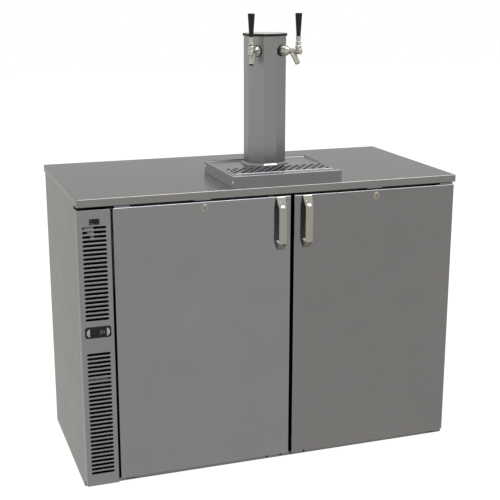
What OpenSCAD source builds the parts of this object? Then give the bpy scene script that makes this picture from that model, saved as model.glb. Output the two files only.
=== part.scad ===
// Draft beer cooler: a low stainless steel cabinet for two kegs behind two doors, with a narrow
// machine bay behind a louvred panel at its left. A boxed drip tray stands on the worktop, and an
// eight-sided column with two taps stands on the tray's deck.
// All lengths are millimetres. The origin lies on the floor under the middle of the worktop, +X to
// the right, +Y to the back and +Z up. Pieces are drawn from the worktop's front left corner.

/* [Worktop] */
// Length of the worktop along the front
top_w = 1219.2; // [1150:0.1:1400]
// Depth of the worktop from front to back
top_d = 609.6; // [580:0.1:720]
// Height of the worktop's upper face above the floor
top_z = 914.4; // [880:0.1:1000]
// Height of the worktop's folded edge
top_t = 23; // [18:0.5:30]
// Thickness of the folded steel sheet
sheet = 1.5; // [1.2:0.1:1.8]

/* [Cabinet] */
// How far the door and panel faces stand behind the worktop's front edge
face_y = 3.5; // [2:0.5:6]
// How far the rear wall stands in front of the worktop's rear edge
rear_gap = 22.8; // [10:0.1:40]
// How far the left side stands in from the worktop's left edge
left_inset = 0.5; // [0.2:0.1:1]
// How far the right side stands in from the worktop's right edge
right_inset = 2.5; // [2:0.1:5]
// Height of the cabinet's underside above the floor
plinth_z = 21; // [16:1:30]
// Inside width of the machine bay
bay_w = 98; // [98:1:120]
// Thickness of the insulated walls
wall_t = 50; // [40:1:60]
// Thickness of the insulated floor
floor_t = 54; // [44:1:60]
// Thickness of the insulated ceiling
ceiling_t = 73; // [60:1:80]
// Width of the post between the two doors
mullion_w = 72; // [70:1:90]
// Depth of the post between the two doors
mullion_d = 40; // [25:1:60]
// Height of the seam between the two left side panels
seam_z = 340; // [250:5:420]
// Height of the kick strip's face
strip_h = 10; // [8:0.5:14]
// How far the kick strip stands behind the door faces
strip_in = 10.5; // [8:0.5:14]

/* [Doors] */
// Gap between the louvred panel and the left door
panel_gap = 6.9; // [6.5:0.1:9]
// Gap between the two doors
door_gap = 11.4; // [8:0.1:16]
// Gap between the right door's edge and the cabinet's right side
side_gap = 0.6; // [0.4:0.1:2]
// Gap between the doors and the worktop's edge
lintel_gap = 8.9; // [8.5:0.1:12]
// Thickness of a door without its gasket
door_t = 46; // [42:1:55]
// Thickness of the door's skin
skin_t = 1.2; // [0.8:0.1:1.6]
// Thickness of the door gasket
gasket_t = 8; // [6:0.5:10]
// Width of the door gasket
gasket_w = 12; // [8:1:16]
// How far the gasket stands in from the door's edges
gasket_in = 14; // [12:1:16]
// Distance of a door's pivot from its outer edge
pivot_in = 8; // [7:0.5:9]
// Distance of a door's pivot behind its face
pivot_back = 10; // [9:0.5:11]
// Radius of the pivot pins
pin_r = 3; // [2:0.5:4]

/* [Louvred panel] */
// Width of the louvred panel
panel_w = 98.1; // [96:0.1:104]
// Depth of the louvred panel's side returns
panel_d = 48.8; // [40:0.1:52]
// Length of a louvre slot
louvre_w = 70.6; // [50:0.1:76]
// Height of a louvre slot
louvre_h = 8; // [4:0.5:10]
// Distance between louvre slots
louvre_pitch = 13.15; // [12:0.05:16]
// Number of slots above the controller
upper_slots = 22; // [4:1:22]
// Number of slots below the controller
lower_slots = 30; // [4:1:30]
// Middle of the first upper slot below the panel's top
upper_drop = 53.1; // [50:0.1:58]
// Middle of the first lower slot below the panel's top
lower_drop = 437.5; // [430:0.5:445]
// Middle of the power switch below the panel's top
switch_drop = 35.5; // [30:0.5:38]
// Width of the power switch
switch_w = 30.2; // [29:0.1:36]
// Height of the power switch
switch_h = 17.3; // [16:0.1:20]
// Middle of the controller below the panel's top
control_drop = 369; // [365:0.5:375]
// Width of the controller's face
control_w = 77.7; // [74:0.1:84]
// Height of the controller's face
control_h = 34.1; // [32:0.1:38]

/* [Door handles and locks] */
// Thickness of a handle's strap
strap_t = 3; // [2:0.5:4]
// Width of a handle's strap along its grip
strap_w = 24; // [18:0.5:27]
// Width of a handle's strap at the door's top edge
strap_top_w = 30.5; // [28:0.5:36]
// How far a handle's grip stands out from the door
strap_out = 23.5; // [18:0.5:32]
// Length of the handle plate on the door's top edge
handle_plate_w = 75; // [65:0.5:90]
// Height of a handle from its foot to the door's top edge
handle_h = 166.5; // [140:0.5:190]
// Height of the slanting foot of a handle
handle_foot_h = 24; // [16:1:30]
// Height of the slanting part of a handle
handle_slant_h = 34; // [26:1:40]
// Radius of a lock's round plate
lock_r = 11.5; // [11:0.5:14]
// Radius of a lock's turning plug
plug_r = 6; // [4:0.5:7]
// Depth of a lock's middle below the door's top
lock_drop = 18.5; // [17:0.1:18.6]
// Length of a lock's cam from the plug's axis
cam_l = 25; // [24.9:0.1:25.3]

/* [Drip tray] */
// Width of the drip tray
tray_w = 351; // [300:1:420]
// Depth of the drip tray
tray_d = 295.5; // [285:0.5:330]
// Height of the drip tray above the worktop
tray_h = 38.6; // [30:0.1:50]
// Distance of the tray behind the worktop's front edge
tray_y = 2.5; // [1:0.5:10]
// How far the tray's middle stands right of the worktop's middle
tray_shift = 35.9; // [20:0.1:60]
// Width of the rim along the tray's sides
rim_w = 7; // [5:0.5:10]
// Width of the rim along the tray's front
rim_front_w = 27; // [20:0.5:32]
// Depth of the lift-off grid
grid_d = 119; // [110:1:120]
// Depth of the deck below the rim
deck_drop = 5; // [3:0.5:8]
// Number of slots in the grid's front row
grid_columns = 13; // [4:1:13]
// Number of staggered slot rows in the grid
grid_rows = 5; // [1:1:5]
// Distance between the slots of a row
column_pitch = 25.2; // [20:0.1:26]
// Distance between slot rows
row_pitch = 15.3; // [14:0.1:19]
// Length of a slot in the grid
slot_l = 22; // [12:0.5:26]
// Width of a slot in the grid
slot_w = 8; // [3:0.5:9]

/* [Tap column] */
// Width of the column
tower_w = 123.4; // [118:0.1:130]
// Width of the column's front face
tower_front_w = 41.4; // [38:0.1:44]
// Depth of the column's side faces
tower_side_d = 48.5; // [44:0.1:54]
// Angle between the front face and the faces that carry the taps
tap_angle = 34.6; // [32:0.1:37]
// Height of the column from its flange to its cap
tower_h = 398; // [370:1:430]
// Wall thickness of the column
tower_wall = 2; // [1.5:0.1:2.5]
// Height of the cap's rim
cap_h = 8; // [6:0.5:12]
// How far the cap's rim stands out from the column
cap_out = 3.5; // [2:0.5:5]
// Thickness of the column's flange
flange_t = 3; // [2:0.5:5]
// How far the flange stands out from the column
flange_out = 10; // [9:0.5:11]

/* [Taps] */
// Depth of the tap axes below the cap's rim
tap_drop = 44; // [40:0.5:60]
// Radius of the black gasket behind a tap
tap_gasket_r = 17.5; // [16:0.5:19]
// Thickness of the black gasket behind a tap
tap_gasket_t = 5.5; // [4:0.5:8]
// Radius of a tap's collar
collar_r = 15.5; // [14:0.5:16.5]
// Radius of a tap's barrel
barrel_r = 8.2; // [7.8:0.1:8.6]
// Distance of a tap's lever from the column's face
lever_out = 62; // [60:0.5:66]
// Angle of a tap's spout from upright
spout_angle = 28; // [22:1:34]
// Length of a tap's spout along its axis
spout_l = 40; // [34:1:44]
// Radius of a tap's spout at its mouth
spout_r = 7.75; // [7.5:0.05:8.5]
// Radius of the bore in a tap's spout
spout_bore_r = 6; // [4:0.1:6.5]
// Radius of a lever's ball
ball_r = 6.2; // [5.8:0.1:6.2]
// Height of a black tap handle
grip_h = 69.5; // [55:0.5:90]
// Radius of a black tap handle at its foot
grip_foot_r = 6.5; // [6:0.1:8]
// Radius of a black tap handle at its top
grip_top_r = 10.8; // [9:0.1:13]

/* [Machine bay] */
// Radius of the compressor's shell
compressor_r = 40; // [32:1:42]
// Height of the compressor's shell
compressor_h = 190; // [150:5:230]
// Height of the condenser coil
condenser_h = 330; // [300:5:380]
// Radius of the two fans
fan_r = 37; // [30:0.5:38]

/* [Hidden] */
$fn = 48;

over = 1; // overrun of every cut
run_fit = 0.05; // radial play of a pin or plug in its bore

// Planes of the cabinet
left_x = left_inset;
right_x = top_w - right_inset;
back_y = top_d - rear_gap;
slab_z = top_z - top_t; // underside of the worktop's edge
deck_z = top_z - sheet; // underside of the worktop's sheet
door_y1 = face_y + door_t; // back of the doors
cab_y = door_y1 + gasket_t; // front of the insulated cabinet
inner_x0 = left_x + sheet; // inside of the machine bay
bulk_x0 = inner_x0 + bay_w;
bulk_x1 = bulk_x0 + wall_t;
right_in = right_x - wall_t;
back_in = back_y - wall_t;
floor_z = plinth_z + floor_t;
ceil_z = deck_z - ceiling_t;

// Places of the doors
panel_x1 = left_x + panel_w;
door_x0 = panel_x1 + panel_gap;
door_w = (right_x - side_gap - door_x0 - door_gap) / 2;
door2_x0 = door_x0 + door_w + door_gap;
strip_z1 = plinth_z + strip_h;
bracket_t = sheet;
hinge_play = 1; // gap between a door's foot and its bracket
door_z0 = strip_z1 + bracket_t + hinge_play;
door_z1 = slab_z - lintel_gap;
pivot1_x = door_x0 + pivot_in;
pivot2_x = door2_x0 + door_w - pivot_in;
pivot_y = face_y + pivot_back;
mid_gap_x = door_x0 + door_w + door_gap / 2;

// Places on the worktop
tray_x = top_w / 2 + tray_shift; // middle of the tray and the column
tray_x0 = tray_x - tray_w / 2;
tray_x1 = tray_x + tray_w / 2;
tray_y1 = tray_y + tray_d;
rim_z = top_z + tray_h;
tray_deck_z = rim_z - deck_drop;
rim_gap = 1; // gap around the lift-off grid
flange_gap = 3; // deck left free between the grid's well and the column's flange
grid_y0 = tray_y + rim_front_w + rim_gap;
grid_y1 = grid_y0 + grid_d;
tower_y = grid_y1 + rim_gap + flange_gap + flange_out; // front face of the column
tower_c = tower_front_w / 2;
tower_a = tower_w / 2;
tower_b = (tower_a - tower_c) * tan(tap_angle); // depth of a face that carries a tap
tower_d = 2 * tower_b + tower_side_d;
tower_z0 = tray_deck_z + flange_t;
tower_z1 = tower_z0 + tower_h;
line_y = tower_y + tower_d / 2;
line_r = 36; // radius of the passage for the beer lines
tap_z = tower_z1 - tap_drop;

module span(lo, hi) translate(lo) cube(hi - lo);
module corner() translate([-top_w / 2, -top_d / 2, 0]) children();
// A straight rod from one point to another
module rod(a, b, r) {
    v = b - a;
    translate(a) rotate([0, acos(v[2] / norm(v)), atan2(v[1], v[0])]) cylinder(h = norm(v), r = r);
}
// A bent pipe through a few points, with ball corners
module pipe(points, r) {
    for (i = [1 : len(points) - 1]) rod(points[i - 1], points[i], r);
    for (i = [1 : len(points) - 2]) translate(points[i]) sphere(r = r);
}
// A cylinder along +Y
module along_y(at, h, r) translate(at) rotate([-90, 0, 0]) cylinder(h = h, r = r);
// A cylinder along +Z
module along_z(at, h, r) translate(at) cylinder(h = h, r = r);
// A slot with round ends, flat in XZ, cut along +Y
module slot_y(at, w, h, d) {
    translate(at + [h / 2, 0, 0]) cube([w - h, d, h]);
    for (x = [h / 2, w - h / 2]) along_y(at + [x, 0, h / 2], d, h / 2);
}

// Worktop and cabinet
drain_r = 8; // outer radius of the drain tube's tail
drain_neck_r = 9.5; // outer radius of the drain tube where it passes through the worktop
drain_wall = 2;
drain_out = 42; // drain's distance from the tray's left side, inside
drain_x = tray_x0 + drain_out;
drain_y = grid_y0 + grid_d / 2;

module worktop() color([0.58, 0.58, 0.56]) corner() difference() {
    span([0, 0, slab_z], [top_w, top_d, top_z]);
    span([sheet, sheet, slab_z - over], [top_w - sheet, top_d - sheet, deck_z]);
    along_z([tray_x, line_y, deck_z - over], sheet + 2 * over, line_r);
    along_z([drain_x, drain_y, deck_z - over], sheet + 2 * over, drain_neck_r);
}

side_seam = 0.7; // gap between the louvred panel's return and the side panel
side_y0 = face_y + panel_d + side_seam;
side_fold = 12; // width of a side panel's folded front edge
panel_seam = 0.6; // gap between the two left panels

module side_sheet(z0, z1) {
    span([left_x, side_y0, z0], [inner_x0, back_y, z1]);
    span([left_x, side_y0, z0], [inner_x0 + side_fold, side_y0 + sheet, z1]);
}

module left_panel_upper() color([0.57, 0.57, 0.55]) corner() side_sheet(seam_z, slab_z);

module left_panel_lower() color([0.56, 0.56, 0.54]) corner() difference() {
    side_sheet(0, seam_z - panel_seam);
    // the folded edge stops above the base frame
    span([inner_x0, side_y0 - over, -over], [inner_x0 + side_fold + over, side_y0 + sheet + over,
        plinth_z + strip_h]);
}

module right_wall() color([0.55, 0.55, 0.54]) corner()
    span([right_in, cab_y, plinth_z], [right_x, back_y, deck_z]);

module rear_wall() color([0.55, 0.55, 0.54]) corner()
    span([bulk_x0, back_in, plinth_z], [right_in, back_y, deck_z]);

// Pipe runs through the bulkhead, near the rear wall and the ceiling
suction_r = 5;
liquid_r = 3;
pipe_off = 26; // distance of the pipes from wall and ceiling
suction_y = back_in - pipe_off;
liquid_y = suction_y - pipe_off;
pipes_z = ceil_z - pipe_off;

module bulkhead() color([0.6, 0.6, 0.6]) corner() difference() {
    span([bulk_x0, cab_y, plinth_z], [bulk_x1, back_in, deck_z]);
    rod([bulk_x0 - over, suction_y, pipes_z], [bulk_x1 + over, suction_y, pipes_z], suction_r);
    rod([bulk_x0 - over, liquid_y, pipes_z], [bulk_x1 + over, liquid_y, pipes_z], liquid_r);
}

module cabinet_ceiling() color([0.75, 0.76, 0.76]) corner() difference() {
    span([bulk_x1, cab_y, ceil_z], [right_in, back_in, deck_z]);
    along_z([tray_x, line_y, ceil_z - over], ceiling_t + 2 * over, line_r);
    along_z([drain_x, drain_y, ceil_z - over], ceiling_t + 2 * over, drain_neck_r);
}

module cabinet_floor() color([0.62, 0.62, 0.6]) corner()
    span([bulk_x1, cab_y, plinth_z], [right_in, back_in, floor_z]);

module center_mullion() color([0.12, 0.12, 0.12]) corner()
    span([mid_gap_x - mullion_w / 2, cab_y, floor_z],
        [mid_gap_x + mullion_w / 2, cab_y + mullion_d, ceil_z]);

// Base frame with the kick strip
runner_w = 40;
runner_in = 100; // runners start this far behind the worktop's front edge
runner_back = 17; // and end this far in front of the rear wall
runner_wall = 3;
strip_y = face_y + strip_in;
strip_hole_r = 3.6;
strip_hole_outs = [-76, -29.8, 5.7, 52.2]; // holes from the middle of the gap between the doors
bracket_slot_w = 33;
bracket_slot_h = 2;
bracket_slot_in = 17; // slot's distance from the door's outer edge

module channel(lo, hi) difference() {
    span(lo, hi);
    span(lo + [runner_wall, runner_wall, runner_wall], hi + [-runner_wall, -runner_wall, over]);
}

module base_frame() color([0.5, 0.5, 0.5]) corner() difference() {
    union() {
        for (x = [inner_x0, top_w / 2 - runner_w / 2, right_x - runner_w])
            channel([x, runner_in, 0], [x + runner_w, back_y - runner_back, plinth_z]);
        for (y = [runner_in, back_y - runner_back - runner_w])
            channel([inner_x0, y, 0], [right_x, y + runner_w, plinth_z]);
        // shelf under the cabinet, then the strip's face and its upper fold
        span([inner_x0, strip_y, plinth_z - sheet], [right_x, runner_in + runner_wall, plinth_z]);
        span([panel_x1, strip_y, plinth_z - sheet], [right_x, strip_y + sheet, strip_z1]);
        span([bulk_x0, strip_y, strip_z1 - sheet], [right_x, cab_y, strip_z1]);
        // floor of the machine bay
        span([inner_x0, cab_y, plinth_z], [bulk_x0, back_y, plinth_z + sheet]);
    }
    for (out = strip_hole_outs)
        along_y([mid_gap_x + out, strip_y - over, plinth_z + strip_h / 2],
            sheet + 2 * over, strip_hole_r);
    for (x = [door_x0 + bracket_slot_in, right_x - side_gap - bracket_slot_in - bracket_slot_w])
        span([x, strip_y - over, plinth_z + bracket_slot_h],
            [x + bracket_slot_w, strip_y + sheet + over, plinth_z + 2 * bracket_slot_h]);
}

// Machine bay
bay_x = inner_x0 + bay_w / 2;
bay_floor_z = plinth_z + sheet;
vent_w = 66;
vent_h = 5;
vent_pitch = 15;
vent_count = 20;
vent_z = 480;
inlet_w = 28;
inlet_h = 22;
inlet_d = 20;
inlet_out = 3; // how far the inlet's face stands out of the panel
inlet_wall = 3;
inlet_z = 130;

module rear_vent_panel() color([0.5, 0.5, 0.5]) corner() difference() {
    span([inner_x0, back_y - sheet, bay_floor_z], [bulk_x0, back_y, slab_z]);
    for (i = [0 : vent_count - 1])
        span([bay_x - vent_w / 2, back_y - sheet - over, vent_z + i * vent_pitch],
            [bay_x + vent_w / 2, back_y + over, vent_z + i * vent_pitch + vent_h]);
    span([bay_x - inlet_w / 2, back_y - sheet - over, inlet_z],
        [bay_x + inlet_w / 2, back_y + over, inlet_z + inlet_h]);
}

blade_w = 5; // width of a power inlet's blade
blade_t = 1.6;
blade_pitch = 7;

module power_inlet() color([0.1, 0.1, 0.1]) corner() {
    difference() {
        span([bay_x - inlet_w / 2, back_y + inlet_out - inlet_d, inlet_z],
            [bay_x + inlet_w / 2, back_y + inlet_out, inlet_z + inlet_h]);
        span([bay_x - inlet_w / 2 + inlet_wall, back_y + inlet_out - inlet_d + inlet_wall,
            inlet_z + inlet_wall], [bay_x + inlet_w / 2 - inlet_wall, back_y + inlet_out + over,
            inlet_z + inlet_h - inlet_wall]);
    }
    for (i = [-1 : 1])
        span([bay_x + i * blade_pitch - blade_t / 2, back_y + inlet_out - inlet_d,
            inlet_z + inlet_h / 2 - blade_w / 2], [bay_x + i * blade_pitch + blade_t / 2,
            back_y, inlet_z + inlet_h / 2 + blade_w / 2]);
}

compressor_y = 340;
foot_h = 12;
foot_r = 8;
foot_at = 28; // feet stand this far from the compressor's axis, both ways
foot_plate_t = 3;
dome_h = 14;
compressor_z = bay_floor_z + foot_h + foot_plate_t;
compressor_top = compressor_z + compressor_h + dome_h;

module compressor() color([0.08, 0.08, 0.08]) corner() translate([bay_x, compressor_y, 0]) {
    for (x = [-foot_at, foot_at], y = [-foot_at, foot_at])
        along_z([x, y, bay_floor_z], foot_h, foot_r);
    span([-foot_at - foot_r, -foot_at - foot_r, bay_floor_z + foot_h],
        [foot_at + foot_r, foot_at + foot_r, compressor_z]);
    along_z([0, 0, compressor_z], compressor_h, compressor_r);
    translate([0, 0, compressor_z + compressor_h])
        cylinder(h = dome_h, r1 = compressor_r, r2 = compressor_r - dome_h);
}

coil_in = 6; // gap between the coil's end plates and the bay's sides
coil_d = 36;
coil_y = cab_y + side_fold;
coil_fins = 13;
fin_t = 0.8;
fin_foot = 40; // fins start this far above the bay's floor
coil_tubes = 8;
tube_r = 4.5;
coil_x0 = inner_x0 + coil_in;
coil_x1 = bulk_x0 - coil_in;
fin_pitch = (coil_x1 - coil_x0 - 2 * sheet) / (coil_fins + 1);
tube_pitch = (condenser_h - fin_foot) / coil_tubes;
coil_top = bay_floor_z + condenser_h;

module condenser() color([0.35, 0.35, 0.36]) corner() {
    for (x = [coil_x0, coil_x1 - sheet])
        span([x, coil_y, bay_floor_z], [x + sheet, coil_y + coil_d, coil_top]);
    for (i = [1 : coil_fins]) {
        x = coil_x0 + sheet + i * fin_pitch - fin_t / 2;
        span([x, coil_y, bay_floor_z + fin_foot], [x + fin_t, coil_y + coil_d, coil_top]);
    }
    for (i = [0 : coil_tubes - 1]) {
        z = bay_floor_z + fin_foot + (i + 1 / 2) * tube_pitch;
        rod([coil_x0, coil_y + coil_d / 2, z], [coil_x1, coil_y + coil_d / 2, z], tube_r);
    }
}

// A fan: hub and tilted blades, with a bore for its spindle, turning about the Y axis
hub_r = 13;
hub_d = 14;
spindle_r = 3;
blade_count = 5;
blade_tilt = 32;
fan_blade_t = 1.6;
blade_chord = 17;
fan_tip_gap = 3.5; // gap around the blade tips
motor_d = 16;
fan_gap = 3; // gap between a fan and its motor
strut_w = 6;
fan_z = 190; // height of the condenser fan's axis above the bay's floor

module fan(at) translate(at) difference() {
    union() {
        along_y([0, 0, 0], hub_d, hub_r);
        for (i = [0 : blade_count - 1]) rotate([0, i * 360 / blade_count, 0])
            translate([0, hub_d / 2, hub_r / 2]) rotate([0, 0, blade_tilt])
                translate([-blade_chord / 2, -fan_blade_t / 2, 0])
                    cube([blade_chord, fan_blade_t, fan_r - hub_r / 2]);
    }
    along_y([0, -over, 0], hub_d + 2 * over, spindle_r + run_fit);
}

// The motor behind a fan, on two struts that reach half the given width
module fan_motor(at, half_w) translate(at) {
    along_y([0, hub_d + fan_gap, 0], motor_d, hub_r);
    along_y([0, 0, 0], hub_d + fan_gap + motor_d / 2, spindle_r);
    for (x = [-half_w, 0])
        span([x, hub_d + 2 * fan_gap, -strut_w / 2], [x + half_w, hub_d + 2 * fan_gap + sheet,
            strut_w / 2]);
}

fan_y = coil_y + coil_d + fan_gap + sheet;
frame_rim = 14.5; // rim of the condenser fan's frame above its opening
frame_h = fan_z + fan_r + fan_tip_gap + frame_rim;
module condenser_fan_frame() color([0.2, 0.2, 0.2]) corner() {
    difference() {
        span([coil_x0, fan_y - sheet, bay_floor_z], [coil_x1, fan_y, bay_floor_z + frame_h]);
        along_y([bay_x, fan_y - sheet - over, bay_floor_z + fan_z], sheet + 2 * over,
            fan_r + fan_tip_gap);
    }
    fan_motor([bay_x, fan_y + fan_gap, bay_floor_z + fan_z], (coil_x1 - coil_x0) / 2);
    // side flanges that carry the struts
    for (x = [coil_x0, coil_x1 - sheet])
        span([x, fan_y, bay_floor_z], [x + sheet, fan_y + hub_d + 3 * fan_gap + sheet,
            bay_floor_z + frame_h]);
}

module condenser_fan() color([0.15, 0.15, 0.15]) corner()
    fan([bay_x, fan_y + fan_gap, bay_floor_z + fan_z]);

evap_w = 330;
evap_h = 104;
evap_d = 107;
evap_y = back_in - evap_d;
evap_fan_z = ceil_z - evap_h / 2;

module evaporator() color([0.8, 0.81, 0.82]) corner() {
    difference() {
        span([mid_gap_x - evap_w / 2, evap_y, ceil_z - evap_h],
            [mid_gap_x + evap_w / 2, back_in, ceil_z]);
        span([mid_gap_x - evap_w / 2 + sheet, evap_y + sheet, ceil_z - evap_h + sheet],
            [mid_gap_x + evap_w / 2 - sheet, back_in + over, ceil_z - sheet]);
        along_y([mid_gap_x, evap_y - over, evap_fan_z], sheet + 2 * over, fan_r + fan_tip_gap);
    }
    fan_motor([mid_gap_x, evap_y + fan_gap, evap_fan_z], evap_w / 2 - sheet);
}

module evaporator_fan() color([0.15, 0.15, 0.15]) corner()
    fan([mid_gap_x, evap_y + fan_gap, evap_fan_z]);

discharge_r = 4;
liquid_x = coil_x1 - sheet - tube_r;
module refrigerant_lines() color([0.72, 0.45, 0.3]) corner() {
    // suction pipe from the evaporator down to the compressor's side
    pipe([[mid_gap_x - evap_w / 2, suction_y, pipes_z], [bay_x, suction_y, pipes_z],
        [bay_x, suction_y, compressor_z + compressor_h / 2],
        [bay_x, compressor_y + compressor_r, compressor_z + compressor_h / 2]], suction_r);
    // liquid pipe from the condenser's top to the evaporator
    pipe([[mid_gap_x - evap_w / 2, liquid_y, pipes_z], [liquid_x, liquid_y, pipes_z],
        [liquid_x, liquid_y, coil_top - tube_r], [liquid_x, coil_y + coil_d, coil_top - tube_r]],
        liquid_r);
    // discharge pipe from the compressor's top to the condenser
    pipe([[bay_x, compressor_y, compressor_top], [bay_x, compressor_y, coil_top - tube_pitch],
        [bay_x, coil_y + coil_d, coil_top - tube_pitch]], discharge_r);
}

// Louvred panel with its switch and controller
switch_in = 35; // switch's distance from the panel's left edge
switch_x = left_x + switch_in + switch_w / 2;
switch_z = door_z1 - switch_drop;
bezel_wall = 2.5;
bezel_out = 1.2;
bezel_lip = 1.5;
bezel_d = 20;
pocket_d = 10;
control_in = 10.8; // controller's distance from the panel's left edge
control_x = left_x + control_in + control_w / 2;
control_z = door_z1 - control_drop;
control_out = 2.5;
control_lip = 3;
control_d = 55;
control_corner = 5;
louvre_in = 13.7; // slots' distance from the panel's left edge
panel_fold = 26; // depth of the panel's folded top edge
gusset_back = 20; // gusset's distance behind the face
gusset_w = 46;
gusset_h = 96;

module grille_panel() color([0.51, 0.51, 0.51]) corner() {
    difference() {
        union() {
            span([left_x, face_y, plinth_z], [panel_x1, face_y + sheet, door_z1]);
            span([left_x, face_y, plinth_z], [inner_x0, face_y + panel_d, door_z1]);
            span([panel_x1 - sheet, face_y, plinth_z], [panel_x1, face_y + panel_fold, door_z1]);
            span([left_x, face_y, door_z1 - sheet], [panel_x1, face_y + panel_fold, door_z1]);
            span([left_x, face_y, plinth_z], [panel_x1, face_y + panel_fold, plinth_z + sheet]);
        }
        for (i = [0 : upper_slots - 1])
            slot_y([left_x + louvre_in, face_y - over,
                door_z1 - upper_drop - i * louvre_pitch - louvre_h / 2], louvre_w, louvre_h,
                sheet + 2 * over);
        for (i = [0 : lower_slots - 1])
            slot_y([left_x + louvre_in, face_y - over,
                door_z1 - lower_drop - i * louvre_pitch - louvre_h / 2], louvre_w, louvre_h,
                sheet + 2 * over);
        span([switch_x - switch_w / 2 + bezel_lip, face_y - over, switch_z - switch_h / 2 + bezel_lip],
            [switch_x + switch_w / 2 - bezel_lip, face_y + sheet + over,
            switch_z + switch_h / 2 - bezel_lip]);
        span([control_x - control_w / 2 + control_lip, face_y - over,
            control_z - control_h / 2 + control_lip], [control_x + control_w / 2 - control_lip,
            face_y + sheet + over, control_z + control_h / 2 - control_lip]);
    }
    // gusset in the upper left corner, seen through the first slots
    translate([inner_x0, face_y + gusset_back + sheet, door_z1 - sheet]) rotate([90, 0, 0])
        linear_extrude(height = sheet) polygon([[0, 0], [gusset_w, 0], [gusset_w, -gusset_h]]);
}

rocker_play = 0.5;
rocker_tilt = 7; // the rocker rests this far off its middle
rocker_axis_in = 4.5; // pivot's distance behind the panel's face
rocker_front = 5.5;
rocker_back = 2.5;
rocker_dip = 1.2;
rocker_end_play = 1.1;
rocker_pin_r = 1.5;
rocker_w = switch_w - 2 * bezel_wall - 2 * rocker_end_play;
rocker_h = switch_h - 2 * bezel_wall - 2 * rocker_play;

module switch_bezel() color([0.1, 0.1, 0.1]) corner() difference() {
    union() {
        span([switch_x - switch_w / 2, face_y - bezel_out, switch_z - switch_h / 2],
            [switch_x + switch_w / 2, face_y, switch_z + switch_h / 2]);
        span([switch_x - switch_w / 2 + bezel_lip, face_y - bezel_out,
            switch_z - switch_h / 2 + bezel_lip], [switch_x + switch_w / 2 - bezel_lip,
            face_y + bezel_d, switch_z + switch_h / 2 - bezel_lip]);
    }
    span([switch_x - switch_w / 2 + bezel_wall, face_y - bezel_out - over,
        switch_z - switch_h / 2 + bezel_wall], [switch_x + switch_w / 2 - bezel_wall,
        face_y + pocket_d, switch_z + switch_h / 2 - bezel_wall]);
    along_z([switch_x, face_y + rocker_axis_in, switch_z - switch_h / 2 + bezel_lip],
        switch_h - 2 * bezel_lip, rocker_pin_r + run_fit);
}

module switch_rocker() color([0.16, 0.16, 0.16]) corner()
    translate([switch_x, face_y + rocker_axis_in, switch_z]) rotate([0, 0, -rocker_tilt]) {
        translate([0, 0, -rocker_h / 2]) linear_extrude(height = rocker_h)
            polygon([[-rocker_w / 2, -rocker_front], [0, rocker_dip - rocker_front],
                [rocker_w / 2, -rocker_front], [rocker_w / 2, rocker_back],
                [-rocker_w / 2, rocker_back]]);
        along_z([0, 0, bezel_lip - switch_h / 2], switch_h - 2 * bezel_lip, rocker_pin_r);
    }

display_w = 40;
display_h = 21;
display_t = 1.2;
button_r = 10.8;
button_flat = control_w / 2 - control_lip / 2 - button_r - bezel_lip; // flat side from the middle
button_play = 0.3;
button_out = 1.2; // how far a button stands out at rest
button_press = 1; // how far it goes in
button_depth = 4.5;

// Half a round plate, flat side towards the controller's middle
module half_round(side, y0, y1, r, play) intersection() {
    along_y([control_x + side * button_flat, y0, control_z], y1 - y0, r);
    translate([control_x + side * (button_flat - play) - (side < 0 ? 2 * r : 0), y0,
        control_z - r]) cube([2 * r, y1 - y0, 2 * r]);
}

module controller_housing() color([0.1, 0.1, 0.1]) corner() difference() {
    union() {
        for (x = [-1, 1], z = [-1, 1])
            along_y([control_x + x * (control_w / 2 - control_corner), face_y - control_out,
                control_z + z * (control_h / 2 - control_corner)], control_out, control_corner);
        span([control_x - control_w / 2 + control_corner, face_y - control_out,
            control_z - control_h / 2], [control_x + control_w / 2 - control_corner, face_y,
            control_z + control_h / 2]);
        span([control_x - control_w / 2, face_y - control_out,
            control_z - control_h / 2 + control_corner], [control_x + control_w / 2, face_y,
            control_z + control_h / 2 - control_corner]);
        span([control_x - control_w / 2 + control_lip, face_y - control_out,
            control_z - control_h / 2 + control_lip], [control_x + control_w / 2 - control_lip,
            face_y + control_d, control_z + control_h / 2 - control_lip]);
    }
    span([control_x - display_w / 2, face_y - control_out - over, control_z - display_h / 2],
        [control_x + display_w / 2, face_y - control_out + display_t, control_z + display_h / 2]);
    for (side = [-1, 1])
        half_round(side, face_y - control_out - over,
            face_y - control_out + button_depth + button_press + button_play,
            button_r + button_play, button_play);
}

module controller_display() color([0.2, 0.03, 0.03]) corner()
    span([control_x - display_w / 2, face_y - control_out, control_z - display_h / 2],
        [control_x + display_w / 2, face_y - control_out + display_t, control_z + display_h / 2]);

module controller_button(side) color([0.6, 0.6, 0.6]) corner()
    half_round(side, face_y - control_out - button_out, face_y - control_out + button_depth,
        button_r, 0);
module controller_button_left() controller_button(-1);
module controller_button_right() controller_button(1);

// Doors: the left one is hinged at its left edge, the right one at its right edge
cam_t = 2;
cam_w = 8;
cam_play = 0.4;
lock_out = 2; // how far a lock's round plate stands out
plug_out = 0.7; // how far the plug stands out of the plate
barrel_d = 7.5; // depth of a lock's barrel behind the door's face
lock_barrel_r = 9.5;
key_w = 7;
key_h = 1.4;
key_d = 3;
lock_z = door_z1 - lock_drop;
cam_y = face_y + barrel_d + cam_play;
pin_l = 14; // how far a pivot pin reaches into a door
pin_room = 1; // free depth past its end
leaf_w = 61; // hinge leaf on the door's top edge
leaf_d = 18;
leaf_t = 1.2;
leaf_in = 3;

module pivot_bores(pivot_x) for (z = [door_z0 - over, door_z1 - pin_l - pin_room])
    along_z([pivot_x, pivot_y, z], pin_l + pin_room + over + leaf_t + over, pin_r + run_fit);

module cam_room(x0) along_y([x0 + door_w / 2, cam_y - cam_play, lock_z], cam_t + 2 * cam_play,
    cam_l + cam_w / 4 - cam_play);

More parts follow.
